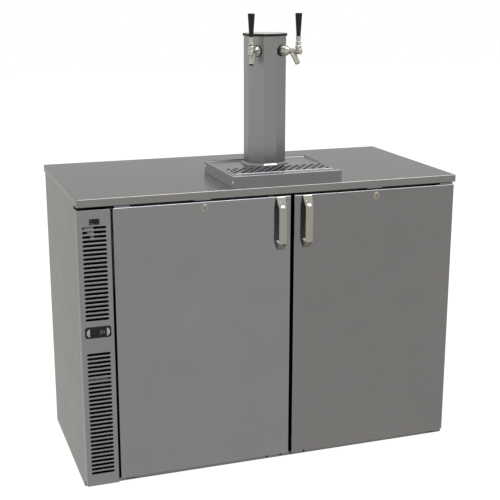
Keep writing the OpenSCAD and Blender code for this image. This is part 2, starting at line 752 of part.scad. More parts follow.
module door_skin(x0, side) {
    pivot_x = side < 0 ? x0 + pivot_in : x0 + door_w - pivot_in;
    leaf_x = side < 0 ? x0 + leaf_in : x0 + door_w - leaf_in - leaf_w;
    difference() {
        union() {
            span([x0, face_y, door_z0], [x0 + door_w, door_y1, door_z1]);
            span([leaf_x, face_y + leaf_t, door_z1], [leaf_x + leaf_w, face_y + leaf_t + leaf_d,
                door_z1 + leaf_t]);
        }
        span([x0 + skin_t, face_y + skin_t, door_z0 + skin_t],
            [x0 + door_w - skin_t, door_y1 + over, door_z1 - skin_t]);
        pivot_bores(pivot_x);
        along_y([x0 + door_w / 2, face_y - over, lock_z], skin_t + 2 * over, lock_barrel_r);
        cam_room(x0);
    }
}

module door_core(x0, side) difference() {
    span([x0 + skin_t, face_y + skin_t, door_z0 + skin_t],
        [x0 + door_w - skin_t, door_y1, door_z1 - skin_t]);
    pivot_bores(side < 0 ? x0 + pivot_in : x0 + door_w - pivot_in);
    along_y([x0 + door_w / 2, face_y, lock_z], barrel_d + over / 2, lock_barrel_r);
    cam_room(x0);
}

module door_gasket(x0) difference() {
    span([x0 + gasket_in, door_y1, door_z0 + gasket_in],
        [x0 + door_w - gasket_in, cab_y, door_z1 - gasket_in]);
    span([x0 + gasket_in + gasket_w, door_y1 - over, door_z0 + gasket_in + gasket_w],
        [x0 + door_w - gasket_in - gasket_w, cab_y + over, door_z1 - gasket_in - gasket_w]);
}

// Strap handle: a plate on the door's top edge, a slanting part with a domed button and a screw,
// and an upright grip whose foot slants back to the door and is screwed to it
handle_plate_t = sheet;
handle_plate_d = 20;
strap_in = 25.4; // strap's distance from the plate's left end
dome_r = 7.5;
dome_t = 2;
dome_h2 = 2;
dome_z = 29; // dome's middle below the door's top edge
screw_r = 2.2;
screw_x = 6;
screw_z = 19;

module door_handle(plate_x) {
    z1 = door_z1 + handle_plate_t;
    z0 = door_z1 - handle_h;
    slant = atan2(strap_out, handle_slant_h + handle_plate_t);
    bend_z = z1 - handle_slant_h - handle_plate_t;
    foot = atan2(handle_foot_h, strap_out);
    x0 = plate_x + strap_in;
    mid = x0 + strap_top_w / 2;
    span([plate_x, face_y, door_z1], [plate_x + handle_plate_w, face_y + handle_plate_d, z1]);
    intersection() {
        // side view of the strap
        translate([x0 - over, 0, 0]) rotate([90, 0, 90])
            linear_extrude(height = strap_top_w + 2 * over) polygon([
                [face_y, z1], [face_y - strap_out, bend_z],
                [face_y - strap_out, z0 + handle_foot_h], [face_y, z0],
                [face_y, z0 + strap_t / cos(foot)],
                [face_y - strap_out + strap_t, z0 + strap_t / cos(foot)
                    + (strap_out - strap_t) * tan(foot)],
                [face_y - strap_out + strap_t, bend_z - strap_t * tan(slant / 2)],
                [face_y, z1 - strap_t / sin(slant)]]);
        // front view of the strap
        translate([0, face_y + over, 0]) rotate([90, 0, 0])
            linear_extrude(height = strap_out + 2 * over) polygon([
                [mid - strap_top_w / 2, z1], [mid + strap_top_w / 2, z1],
                [mid + strap_w / 2, bend_z], [mid + strap_w / 2, z0 - over],
                [mid - strap_w / 2, z0 - over], [mid - strap_w / 2, bend_z]]);
    }
    // domed button and screw, square to the slanting part
    for (head = [[0, dome_z, dome_r, dome_t, dome_h2], [-screw_x, screw_z, screw_r, sheet / 2, sheet / 2]])
        translate([mid + head[0], face_y - (head[1] + handle_plate_t) * tan(slant), door_z1 - head[1]])
            rotate([90 - slant, 0, 0]) {
                cylinder(h = head[3], r = head[2]);
                translate([0, 0, head[3]]) intersection() {
                    cylinder(h = head[4], r = head[2]);
                    translate([0, 0, (head[4] - head[2] * head[2] / head[4]) / 2])
                        sphere(r = (head[4] + head[2] * head[2] / head[4]) / 2);
                }
            }
    // screw in the foot
    translate([mid, face_y - strap_out / 2, z0 + handle_foot_h / 2]) rotate([180 - foot, 0, 0])
        translate([0, 0, -strap_t / 2]) cylinder(h = (strap_t + sheet) / 2, r = screw_r);
}

module door_lock(x0) difference() {
    union() {
        along_y([x0 + door_w / 2, face_y - lock_out, lock_z], lock_out, lock_r);
        along_y([x0 + door_w / 2, face_y - lock_out, lock_z], lock_out + barrel_d, lock_barrel_r);
    }
    along_y([x0 + door_w / 2, face_y - lock_out - over, lock_z], lock_out + barrel_d + 2 * over,
        plug_r + run_fit);
}

// Plug with its key slot and its cam, which lies level while the door is unlocked
module lock_plug(x0) translate([x0 + door_w / 2, 0, lock_z]) difference() {
    union() {
        along_y([0, face_y - lock_out - plug_out, 0], cam_y + cam_t - face_y + lock_out + plug_out,
            plug_r);
        span([0, cam_y, -cam_w / 2], [cam_l, cam_y + cam_t, cam_w / 2]);
    }
    span([-key_h / 2, face_y - lock_out - plug_out - over, -key_w / 2],
        [key_h / 2, face_y - lock_out - plug_out + key_d, key_w / 2]);
}

module left_door_skin() color([0.5, 0.5, 0.5]) corner() door_skin(door_x0, -1);
module right_door_skin() color([0.48, 0.48, 0.48]) corner() door_skin(door2_x0, 1);
module left_door_core() color([0.85, 0.85, 0.84]) corner() door_core(door_x0, -1);
module right_door_core() color([0.85, 0.85, 0.84]) corner() door_core(door2_x0, 1);
module left_door_gasket() color([0.25, 0.25, 0.25]) corner() door_gasket(door_x0);
module right_door_gasket() color([0.25, 0.25, 0.25]) corner() door_gasket(door2_x0);
module left_door_handle() color([0.57, 0.56, 0.52]) corner()
    door_handle(door_x0 + door_w - handle_plate_w);
module right_door_handle() color([0.57, 0.56, 0.52]) corner() door_handle(door2_x0);
module left_door_lock() color([0.62, 0.62, 0.62]) corner() door_lock(door_x0);
module right_door_lock() color([0.62, 0.62, 0.62]) corner() door_lock(door2_x0);
module left_lock_plug() color([0.7, 0.7, 0.7]) corner() lock_plug(door_x0);
module right_lock_plug() color([0.7, 0.7, 0.7]) corner() lock_plug(door2_x0);

// Hinge brackets above and below each door, with the pivot pins, and the lock strikes
hinge_w = 46;
hinge_t = 4;
hinge_gap = 2.1; // gap between a door's top edge and the upper bracket
hinge_in = 4; // bracket's outer end from the pivot
hinge_tab_t = 3;
hinge_tab_h = 13; // how far the bracket's tab hangs down the ceiling's front
foot_front = 5.5; // lower bracket's front from the pivot

module hinge(side, pivot_x) {
    x0 = side < 0 ? pivot_x - hinge_in : pivot_x + hinge_in - hinge_w;
    z0 = door_z1 + hinge_gap;
    span([x0, face_y + skin_t, z0], [x0 + hinge_w, cab_y, z0 + hinge_t]);
    span([x0, cab_y - hinge_tab_t, z0 - hinge_tab_h], [x0 + hinge_w, cab_y, slab_z]);
    along_z([pivot_x, pivot_y, door_z1 - pin_l], pin_l + hinge_gap + hinge_t, pin_r);
    // lower bracket on the kick strip's fold
    span([x0, pivot_y - foot_front, strip_z1], [x0 + hinge_w, cab_y, strip_z1 + bracket_t]);
    along_z([pivot_x, pivot_y, strip_z1], bracket_t + hinge_play + pin_l, pin_r);
}

module hinge_brackets() color([0.5, 0.5, 0.5]) corner() {
    hinge(-1, pivot1_x);
    hinge(1, pivot2_x);
}

strike_left = 29; // strike's ends from the lock's middle
strike_right = 20;
strike_y = face_y + 4.5;
strike_t = 1.8;
strike_drop = 4.8; // how far the strike's lip hangs below the worktop's edge

module strike(x0) {
    mid = x0 + door_w / 2;
    span([mid - strike_left, strike_y, slab_z], [mid + strike_right, cab_y, slab_z + sheet]);
    span([mid - strike_left, strike_y, slab_z - strike_drop], [mid + strike_right,
        strike_y + strike_t, slab_z + sheet]);
}

module lock_strikes() color([0.4, 0.4, 0.4]) corner() {
    strike(door_x0);
    strike(door2_x0);
}

// Drip tray: a boxed tray with a rim, a fixed deck behind and a lift-off grid in front
ledge_w = 12; // ledges that carry the grid
grid_edge = 9.5; // height of the grid's folded edges
rim_back_w = 8;
rivet_r = 3.5;
rivet_t = 1;
rivet_in = 5; // rivets' distance from the tray's front and back, and from half its height
bead_r = 1.6;
bead_in = 7; // bead's ends from the grid's ends
notch_d = 7;
slot_shift = 2; // slots' middle behind the grid's middle
in_x0 = tray_x0 + sheet;
in_x1 = tray_x1 - sheet;
in_y0 = tray_y + sheet;
in_y1 = tray_y1 - sheet;
grid_x0 = tray_x0 + rim_w + rim_gap;
grid_x1 = tray_x1 - rim_w - rim_gap;
ledge_z = rim_z - grid_edge;

module drip_tray() color([0.55, 0.55, 0.55]) corner() difference() {
    union() {
        difference() {
            span([tray_x0, tray_y, top_z], [tray_x1, tray_y1, rim_z]);
            span([in_x0, in_y0, top_z + sheet], [in_x1, in_y1, rim_z - sheet]);
            span([tray_x0 + rim_w, tray_y + rim_front_w, rim_z - sheet - over],
                [tray_x1 - rim_w, tray_y1 - rim_back_w, rim_z + over]);
        }
        // ledges under the grid's folded edges
        for (x = [in_x0, in_x1 - ledge_w])
            span([x, in_y0, ledge_z - sheet], [x + ledge_w, grid_y1 + rim_gap, ledge_z]);
        // deck, with its front edge folded down to the tray's floor
        span([in_x0, grid_y1 + rim_gap, tray_deck_z - sheet], [in_x1, in_y1, tray_deck_z]);
        span([in_x0, grid_y1 + rim_gap, top_z], [in_x1, grid_y1 + rim_gap + sheet, tray_deck_z]);
        // rivets in the sides
        for (x = [tray_x0 - rivet_t, tray_x1], y = [tray_y + rivet_in, tray_y1 - rivet_in])
            translate([x, y, top_z + tray_h / 2]) rotate([0, 90, 0])
                cylinder(h = rivet_t, r = rivet_r);
    }
    along_z([tray_x, line_y, top_z - over], tray_h, line_r);
    along_z([drain_x, drain_y, top_z - over], sheet + 2 * over, drain_neck_r);
}

module drip_grid() color([0.56, 0.56, 0.55]) corner() difference() {
    union() {
        difference() {
            span([grid_x0, grid_y0, ledge_z], [grid_x1, grid_y1, rim_z]);
            span([grid_x0 + sheet, grid_y0 + sheet, ledge_z - over],
                [grid_x1 - sheet, grid_y1 - sheet, rim_z - sheet]);
        }
        translate([grid_x0 + bead_in, grid_y0 + bead_r, rim_z]) rotate([0, 90, 0])
            cylinder(h = grid_x1 - grid_x0 - 2 * bead_in, r = bead_r);
    }
    // notches in the front corners
    for (x = [grid_x0 - over, grid_x1 - bead_in])
        span([x, grid_y0 - over, ledge_z - over], [x + bead_in + over, grid_y0 + notch_d,
            rim_z + bead_r]);
    // every second row has one slot less and stands half a pitch to the side
    for (j = [0 : grid_rows - 1], i = [0 : grid_columns - 1 - j % 2])
        translate([tray_x + (i - (grid_columns - 1 - j % 2) / 2) * column_pitch,
            drain_y + slot_shift + (j - (grid_rows - 1) / 2) * row_pitch, rim_z - sheet - over]) {
            translate([-slot_w / 2, -(slot_l - slot_w) / 2, 0])
                cube([slot_w, slot_l - slot_w, sheet + 2 * over]);
            for (y = [-1, 1]) translate([0, y * (slot_l - slot_w) / 2, 0])
                cylinder(h = sheet + 2 * over, r = slot_w / 2);
        }
}

drain_tail = 40; // how far the drain tube hangs below the ceiling
drain_lip = 5;

module drain_tube() color([0.7, 0.7, 0.68]) corner() difference() {
    union() {
        along_z([drain_x, drain_y, ceil_z - drain_tail], drain_tail + over, drain_r);
        along_z([drain_x, drain_y, ceil_z], top_z + sheet - ceil_z, drain_neck_r);
        along_z([drain_x, drain_y, top_z + sheet], sheet, drain_neck_r + drain_lip);
    }
    along_z([drain_x, drain_y, ceil_z - drain_tail - over],
        top_z + 2 * sheet + drain_tail - ceil_z + 2 * over, drain_r - drain_wall);
}

// Outline of the column, drawn in by m (out where m is below zero), from its front face's middle
function tower_outline(m) = let (
    x1 = tower_c - m * (1 - cos(tap_angle)) / sin(tap_angle),
    x2 = tower_a - m,
    y1 = m,
    y2 = tower_b + m * (1 - sin(tap_angle)) / cos(tap_angle))
    [[-x1, y1], [x1, y1], [x2, y2], [x2, tower_d - y2], [x1, tower_d - y1],
     [-x1, tower_d - y1], [-x2, tower_d - y2], [-x2, y2]];

module tower_prism(z0, z1, m) translate([tray_x, tower_y, z0])
    linear_extrude(height = z1 - z0) polygon(tower_outline(m));

// Frame of a tap: its origin on the face that carries it, -Y straight out of the column
module at_tap(side) corner()
    translate([tray_x + side * (tower_a + tower_c) / 2, tower_y + tower_b / 2, tap_z])
        rotate([0, 0, side * tap_angle]) children();

shank_r = 9;
shank_back = 26; // how far a shank reaches behind the column's face
shank_bore_r = 3.5;
shank_play = 0.2;
nut_r = 16;
nut_t = 9;
barb_r = 5.5;
barb_l = 16;

module tower_flange() color([0.56, 0.56, 0.55]) corner() difference() {
    tower_prism(tray_deck_z, tower_z0, -flange_out);
    along_z([tray_x, line_y, tray_deck_z - over], flange_t + 2 * over, line_r);
}

module tower_column() color([0.51, 0.51, 0.51]) difference() {
    corner() tower_prism(tower_z0, tower_z1, 0);
    corner() tower_prism(tower_z0 - over, tower_z1 + over, tower_wall);
    for (side = [-1, 1]) at_tap(side)
        along_y([0, -tower_wall - over, 0], 3 * tower_wall + over, shank_r + shank_play);
}

cap_in = 2; // how far the rim stands in from the column's outline
cap_recess = 2; // cap's depth below its rim

module tower_cap_rim() color([0.12, 0.12, 0.12]) corner() difference() {
    tower_prism(tower_z1, tower_z1 + cap_h, -cap_out);
    tower_prism(tower_z1 - over, tower_z1 + cap_h + over, cap_in);
}

module tower_cap() color([0.75, 0.75, 0.74]) corner()
    tower_prism(tower_z1, tower_z1 + cap_h - cap_recess, cap_in);

head_r = 3;
head_t = 1.6;
flange_screw_share = 1 / 3; // flange screws' place across the flange's width
cap_screw_x_share = 5 / 12;
cap_screw_y_share = 3 / 10;
module tower_screws() color([0.7, 0.7, 0.7]) corner() {
    // flange screws at the corners beside the taps and behind them
    for (side = [-1, 1], y = [tower_y + tower_b - flange_out * flange_screw_share,
        tower_y + tower_d - tower_b + flange_out * flange_screw_share])
        along_z([tray_x + side * (tower_a + flange_out / 2), y, tower_z0], head_t, head_r);
    // two cap screws
    for (side = [-1, 1])
        along_z([tray_x + side * (tower_a + tower_c) * cap_screw_x_share,
            line_y - side * tower_d * cap_screw_y_share,
            tower_z1 + cap_h - cap_recess], head_t, head_r);
}

// Taps
ball_up = 13; // lever ball's height above the tap's axis
ball_play = 0.3;
collar_t = 14.5;
collar_edge = 2.5;
cone_l = 12;
cone_r = 13;
knob_r = 9;
knob_back = 4; // front knob starts this far behind the lever
knob_front = 10.5; // and ends this far in front of it
knob_edge = 1;
boss_r = 8;
bonnet_r = 9.5;
bonnet_cut = 5; // dome's flat top above the ball's middle
boss_h = 10;
stem_r = 3;
stem_play = 0.35;
lever_tilt = 30; // how far a lever tips forward
ring_r = 9;
ring_z0 = 8;
ring_z1 = 16;
ferrule_r0 = 6;
ferrule_r1 = 8;
lever_h = 32.5; // height of a lever from its ball's middle
spout_top_r = 9;
spout_back = 20; // spout's upper end behind the lever
spout_up = 2; // and below the tap's axis

module tap_gaskets() color([0.1, 0.1, 0.1]) for (side = [-1, 1]) at_tap(side) difference() {
    along_y([0, -tap_gasket_t, 0], tap_gasket_t, tap_gasket_r);
    along_y([0, -tap_gasket_t - over, 0], tap_gasket_t + 2 * over, shank_r);
}

module tap_shanks() color([0.6, 0.6, 0.6]) for (side = [-1, 1]) at_tap(side) difference() {
    union() {
        along_y([0, -tap_gasket_t, 0], tap_gasket_t + shank_back, shank_r);
        translate([0, tower_wall, 0]) rotate([-90, 0, 0]) cylinder(h = nut_t, r = nut_r, $fn = 6);
        along_y([0, shank_back, 0], barb_l, barb_r);
    }
    along_y([0, -tap_gasket_t - over, 0], tap_gasket_t + shank_back + barb_l + 2 * over,
        shank_bore_r);
}

// Beer lines: from each shank's tail, round a bend and down into the cabinet
hose_r = 7.5;
hose_bend = 12;
hose_end_z = 780; // height of the lines' lower ends above the floor
hose_run = 4; // straight part past the shank's tail

module hose(side, r) at_tap(side) {
    y1 = shank_back + barb_l + hose_run;
    along_y([0, shank_back, 0], barb_l + hose_run, r);
    translate([0, y1, -hose_bend]) rotate([90, 0, 90]) rotate_extrude(angle = 90)
        translate([hose_bend, 0]) circle(r = r);
    translate([0, y1 + hose_bend, hose_end_z - tap_z]) cylinder(h = tap_z - hose_end_z - hose_bend, r = r);
}

module beer_lines() color([0.8, 0.8, 0.75]) for (side = [-1, 1]) difference() {
    hose(side, hose_r);
    hose(side, barb_r);
    at_tap(side) along_y([0, shank_back - over, 0], 2 * over, barb_r);
    at_tap(side) translate([0, shank_back + barb_l + hose_run + hose_bend, hose_end_z - tap_z - over])
        cylinder(h = 2 * over, r = barb_r);
}

module at_ball(side) at_tap(side) translate([0, -lever_out, ball_up]) children();

module faucet(side) {
    at_tap(side) difference() {
        union() {
            // collar, cone, barrel and front knob, turned about the tap's axis
            rotate([90, 0, 0]) rotate_extrude() polygon([[0, tap_gasket_t],
                [collar_r, tap_gasket_t], [collar_r, tap_gasket_t + collar_t - collar_edge],
                [collar_r - collar_edge, tap_gasket_t + collar_t],
                [cone_r, tap_gasket_t + collar_t],
                [barrel_r, tap_gasket_t + collar_t + cone_l],
                [barrel_r, lever_out - knob_back], [knob_r, lever_out - knob_back],
                [knob_r, lever_out + knob_front - knob_edge],
                [knob_r - knob_edge, lever_out + knob_front], [0, lever_out + knob_front]]);
            translate([0, -lever_out, 0]) cylinder(h = boss_h, r = boss_r);
            translate([0, spout_back - lever_out, -spout_up]) rotate([180 - spout_angle, 0, 0])
                cylinder(h = spout_l, r1 = spout_top_r, r2 = spout_r);
        }
        // beer passage: along the barrel, then down the spout
        along_y([0, spout_back - lever_out, 0], lever_out - spout_back, shank_bore_r);
        translate([0, spout_back - lever_out, -spout_up]) rotate([180 - spout_angle, 0, 0])
            cylinder(h = spout_l + over, r = spout_bore_r);
        translate([0, -lever_out, ball_up]) sphere(r = ball_r + ball_play);
    }
}

module faucet_left() color([0.6, 0.6, 0.6]) faucet(-1);
module faucet_right() color([0.6, 0.6, 0.6]) faucet(1);

// Domed nuts that hold the lever balls
cone_low = 2; // the nut's flared opening starts this far above the ball's middle
function opening_r(h) = h * tan(lever_tilt) + stem_r / cos(lever_tilt) + stem_play;

module faucet_bonnets() color([0.55, 0.55, 0.55]) for (side = [-1, 1]) at_ball(side) difference() {
    union() {
        translate([0, 0, boss_h - ball_up]) cylinder(h = ball_up - boss_h, r = bonnet_r);
        intersection() {
            sphere(r = bonnet_r);
            cylinder(h = bonnet_cut, r = bonnet_r);
        }
    }
    sphere(r = ball_r + ball_play);
    translate([0, 0, cone_low]) cylinder(h = bonnet_cut + over - cone_low,
        r1 = opening_r(cone_low), r2 = opening_r(bonnet_cut + over));
}

module lever(side) color([0.6, 0.6, 0.6]) at_ball(side) {
    sphere(r = ball_r);
    cylinder(h = ring_z1, r = stem_r);
    difference() {
        translate([0, 0, ring_z0]) cylinder(h = ring_z1 - ring_z0, r = ring_r);
        sphere(r = bonnet_r + ball_play);
    }
    translate([0, 0, ring_z1]) cylinder(h = lever_h - ring_z1, r1 = ferrule_r0, r2 = ferrule_r1);
}

module lever_left() lever(-1);
module lever_right() lever(1);

grip_dome = 2.5; // height of a handle's domed top
module tap_handle(side) color([0.13, 0.13, 0.12]) at_ball(side) translate([0, 0, lever_h]) {
    cylinder(h = grip_h - grip_dome, r1 = grip_foot_r, r2 = grip_top_r);
    translate([0, 0, grip_h - grip_dome]) intersection() {
        cylinder(h = grip_dome, r = grip_top_r);
        translate([0, 0, (grip_dome - grip_top_r * grip_top_r / grip_dome) / 2])
            sphere(r = (grip_dome + grip_top_r * grip_top_r / grip_dome) / 2);
    }
}

module tap_handle_left() tap_handle(-1);
module tap_handle_right() tap_handle(1);

worktop();
left_panel_upper();
left_panel_lower();
right_wall();
rear_wall();
bulkhead();
cabinet_ceiling();
cabinet_floor();
base_frame();
rear_vent_panel();
center_mullion();
grille_panel();
switch_bezel();
switch_rocker();
controller_housing();
controller_display();
controller_button_left();
controller_button_right();
compressor();
condenser();
condenser_fan_frame();
condenser_fan();
refrigerant_lines();
power_inlet();
evaporator();
evaporator_fan();
hinge_brackets();
lock_strikes();
left_door_skin();
left_door_core();
left_door_gasket();
left_door_handle();
left_door_lock();
left_lock_plug();
right_door_skin();
right_door_core();
right_door_gasket();
right_door_handle();
right_door_lock();
right_lock_plug();
drip_tray();
drip_grid();
drain_tube();
tower_flange();
tower_column();
tower_cap();
tower_cap_rim();
tower_screws();
tap_gaskets();
tap_shanks();
beer_lines();
faucet_left();
faucet_right();
faucet_bonnets();
lever_left();
lever_right();
tap_handle_left();
tap_handle_right();
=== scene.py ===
# Draft beer cooler, dressed for the camera. Lengths are millimetres from the worktop's front left
# corner on the floor, +X right, +Y back, +Z up, and part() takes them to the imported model's frame.
import bpy, bmesh
import numpy as np
from mathutils import Matrix


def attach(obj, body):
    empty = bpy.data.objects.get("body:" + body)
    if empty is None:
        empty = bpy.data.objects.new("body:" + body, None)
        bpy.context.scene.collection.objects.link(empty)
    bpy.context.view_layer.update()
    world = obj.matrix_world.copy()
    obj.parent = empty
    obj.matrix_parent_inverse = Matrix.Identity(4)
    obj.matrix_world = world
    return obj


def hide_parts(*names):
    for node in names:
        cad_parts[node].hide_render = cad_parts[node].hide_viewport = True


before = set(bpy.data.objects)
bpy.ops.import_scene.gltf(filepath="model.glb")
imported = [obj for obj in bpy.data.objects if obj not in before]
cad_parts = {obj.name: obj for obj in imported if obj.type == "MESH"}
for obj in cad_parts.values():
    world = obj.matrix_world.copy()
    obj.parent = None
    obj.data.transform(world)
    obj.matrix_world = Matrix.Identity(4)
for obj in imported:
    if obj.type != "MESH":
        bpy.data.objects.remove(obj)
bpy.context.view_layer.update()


# Camera. It stands left of the cooler at eye height, about 3.5 m away, with a short tele lens, as in
# the photograph.
EYE_AT, PAN, TILT, ROLL, LENS, SENSOR = (-1.0997, -3.19985, 1.5296), -19.262, 14.710, 0.060, 75.288, 36
eye = bpy.data.objects.new("camera", bpy.data.cameras.new("camera"))
eye.data.lens, eye.data.sensor_width, eye.data.sensor_fit = LENS, SENSOR, "HORIZONTAL"
eye.matrix_world = (Matrix.Translation(EYE_AT)
                    @ Matrix.Rotation(np.radians(PAN), 4, "Z")
                    @ Matrix.Rotation(np.radians(90 - TILT), 4, "X")
                    @ Matrix.Rotation(np.radians(ROLL), 4, "Z"))
bpy.context.scene.collection.objects.link(eye)
bpy.context.scene.camera = eye
bpy.context.scene.view_settings.view_transform = "Standard"


# Studio. A white room, a little brighter at the front left than at the rear right, so that one steel
# looks different on each face, a wide softbox overhead that draws the edges, and a weak fill lamp.
def srgb(code):
    """Linear RGBA of an sRGB hex: ((c + 0.055) / 1.055) ** 2.4, or c / 12.92 up to 0.04045."""
    c = np.array([int(code[i:i + 2], 16) for i in (1, 3, 5)]) / 255
    return (*np.where(c > 0.04045, ((c + 0.055) / 1.055) ** 2.4, c / 12.92).tolist(), 1.0)


def add_node(owner, kind, sockets={}, **settings):
    """Adds a node, sets its properties, and sets or links its inputs by name or number."""
    node = owner.node_tree.nodes.new(kind)
    for key, value in settings.items():
        setattr(node, key, value)
    for key, value in sockets.items():
        if isinstance(value, bpy.types.NodeSocket):
            owner.node_tree.links.new(value, node.inputs[key])
        else:
            node.inputs[key].default_value = value
    return node


room = bpy.data.worlds.new("white studio")
room.use_nodes = True
room.node_tree.nodes.clear()
bpy.context.scene.world = room
ray = add_node(room, "ShaderNodeLightPath").outputs
heading = add_node(room, "ShaderNodeTexCoord").outputs["Generated"]
toward = add_node(room, "ShaderNodeVectorMath", {0: heading, 1: (-0.75, -0.4, 0.0)},
                  operation="DOT_PRODUCT")
side = add_node(room, "ShaderNodeMapRange", {"Value": toward.outputs["Value"], "From Min": -1.0,
                                             "From Max": 1.0, "To Min": 0.0, "To Max": 1.0})
tone = add_node(room, "ShaderNodeMix", {0: side.outputs[0], 6: (0.785, 0.78, 0.77, 1),
                                        7: (0.975, 0.975, 0.98, 1)}, data_type="RGBA")
seen = add_node(room, "ShaderNodeMath", {0: ray["Is Glossy Ray"], 1: ray["Is Transmission Ray"]},
                operation="MAXIMUM")
soft = add_node(room, "ShaderNodeBackground", {"Color": (0.93, 0.95, 1.0, 1), "Strength": 0.75})
shiny = add_node(room, "ShaderNodeBackground", {"Color": tone.outputs[2], "Strength": 1.0})
white = add_node(room, "ShaderNodeBackground", {"Color": (1, 1, 1, 1), "Strength": 1.0})
inner = add_node(room, "ShaderNodeMixShader", {0: seen.outputs[0], 1: soft.outputs[0],
                                               2: shiny.outputs[0]})
outer = add_node(room, "ShaderNodeMixShader", {0: ray["Is Camera Ray"], 1: inner.outputs[0],
                                               2: white.outputs[0]})
add_node(room, "ShaderNodeOutputWorld", {"Surface": outer.outputs[0]})

for name, place, aim, size, watts in (
        ("softbox", (1.15, -0.95, 3.6), (1.15, -0.95, 0.0), (2.8, 2.3), 134),
        ("fill", (-3.2, -2.2, 2.2), (0.0, 0.0, 0.7), (1.4, 1.4), 8)):
    lamp = bpy.data.objects.new(name, bpy.data.lights.new(name, "AREA"))
    lamp.data.shape, lamp.data.energy, lamp.data.color = "RECTANGLE", watts, (0.9, 0.92, 1.0)
    lamp.data.size, lamp.data.size_y = size
    z = np.subtract(place, aim) / np.linalg.norm(np.subtract(place, aim))
    x = np.cross((0, 1, 0.01), z) / np.linalg.norm(np.cross((0, 1, 0.01), z))
    turn = np.stack([x, np.cross(z, x), z], 1)
    lamp.matrix_world = Matrix([(*row, at) for row, at in zip(turn, place)] + [(0, 0, 0, 1)])
    bpy.context.scene.collection.objects.link(lamp)

# The camera sees a floor lit almost to white with a trace of the shadow; steel sees the room in it.
REACH = 14
ground = bpy.data.meshes.new("floor")
ground.from_pydata([(-REACH, -REACH, 0), (REACH, -REACH, 0), (REACH, REACH, 0), (-REACH, REACH, 0)],
                   [], [(0, 1, 2, 3)])
pale = bpy.data.materials.new("pale studio floor")
pale.use_nodes = True
pale.node_tree.nodes.clear()
ray = add_node(pale, "ShaderNodeLightPath").outputs
shade = add_node(pale, "ShaderNodeBsdfDiffuse", {"Color": srgb("#f4f4f4")})
glow = add_node(pale, "ShaderNodeEmission", {"Color": (1, 1, 1, 1), "Strength": 1.12})
lit = add_node(pale, "ShaderNodeMixShader", {0: 0.9, 1: shade.outputs[0], 2: glow.outputs[0]})
seen = add_node(pale, "ShaderNodeMath", {0: ray["Is Glossy Ray"], 1: ray["Is Transmission Ray"]},
                operation="MAXIMUM")
clear = add_node(pale, "ShaderNodeBsdfTransparent")
first = add_node(pale, "ShaderNodeMixShader", {0: ray["Is Camera Ray"], 1: shade.outputs[0],
                                               2: lit.outputs[0]})
add_node(pale, "ShaderNodeOutputMaterial", {"Surface": add_node(pale, "ShaderNodeMixShader", {
    0: seen.outputs[0], 1: first.outputs[0], 2: clear.outputs[0]}).outputs[0]})
ground.materials.append(pale)
floor = bpy.data.objects.new("floor", ground)
bpy.context.scene.collection.objects.link(floor)


# Worktop. One sheet of brushed stainless steel, folded down 23 mm all round with welded corners and
# a hemmed lower edge, screwed down on the cabinet from inside.
TOP_W, TOP_D, TOP_Z, SLAB_Z, SHEET = 1219.2, 609.6, 914.4, 891.4, 1.5


def part(points):
    """Corner millimetres to metres in the model's frame: (x - W / 2, y - D / 2, z) / 1000."""
    return (np.asarray(points, float) - (TOP_W / 2, TOP_D / 2, 0)) / 1000


def rounded(points, radius, k=4, slack=0.3):
    """An open line with its corners turned into arcs. At a corner q between unit directions d and e,
    turning by T, the arc starts at q - r tan(T / 2) d and runs start + r (sin t d + (1 - cos t) n),
    with n square to d on e's side. A point stands slack mm before and after it, so flats shade flat."""
    points = [np.asarray(p, float) for p in points]
    radii = np.broadcast_to(radius, len(points))
    line = [points[0]]
    for before, at, after, r in zip(points, points[1:], points[2:], radii[1:]):
        d, e = (at - before) / np.linalg.norm(at - before), (after - at) / np.linalg.norm(after - at)
        turn = np.arccos(np.clip(d @ e, -1, 1))
        if r <= 0 or turn < 1e-3:
            line.append(at)
            continue
        n = (e - (e @ d) * d) / np.linalg.norm(e - (e @ d) * d)
        reach, t = r * np.tan(turn / 2), turn * np.linspace(0, 1, k + 1)[:, None]
        arc = at - d * reach + r * (np.sin(t) * d + (1 - np.cos(t)) * n)
        line += [at - d * (reach + slack), *arc, at + e * (reach + slack)]
    return np.array(line + [points[-1]])


def around(outline, profile, r=1.5, k=4, axes="xyz", slack=0.4):
    """Carries a profile round a convex, counter-clockwise outline with corners of radius r. A profile
    point (a, b) lies a outside the outline and b along the third axis. At a corner p between the edge
    normals m and n it is p - M max(r, -a) + N(t) max(r + a, 0), with M = (m + n) / (1 + m.n) and N(t)
    turning from m to n."""
    p, profile = np.asarray(outline, float), np.asarray(profile, float)
    edge = np.roll(p, -1, 0) - p
    edge /= np.linalg.norm(edge, axis=1, keepdims=True)
    after = np.stack([edge[:, 1], -edge[:, 0]], 1)
    before = np.roll(after, 1, 0)
    cosine = (before * after).sum(1)
    t = (np.arctan2(before[:, 1], before[:, 0])[:, None]
         + np.arccos(np.clip(cosine, -1, 1))[:, None] * np.linspace(0, 1, k + 1))
    mitre = ((before + after) / (1 + cosine)[:, None])[:, None]
    a = profile[:, 0][:, None, None, None]
    flat = (p[:, None] - mitre * np.maximum(r, -a)
            + np.stack([np.cos(t), np.sin(t)], -1) * np.maximum(r + a, 0))
    flat = np.concatenate([flat[:, :, :1] - np.roll(edge, 1, 0)[:, None] * slack, flat,
                           flat[:, :, -1:] + edge[:, None] * slack], 2).reshape(len(profile), -1, 2)
    flat = np.concatenate([flat, flat[:, :1]], 1)
    grid = np.empty(flat.shape[:2] + (3,))
    for i, axis in enumerate(axes):
        grid[..., "xyz".index(axis)] = flat[..., i] if i < 2 else profile[:, 1][:, None]
    return grid


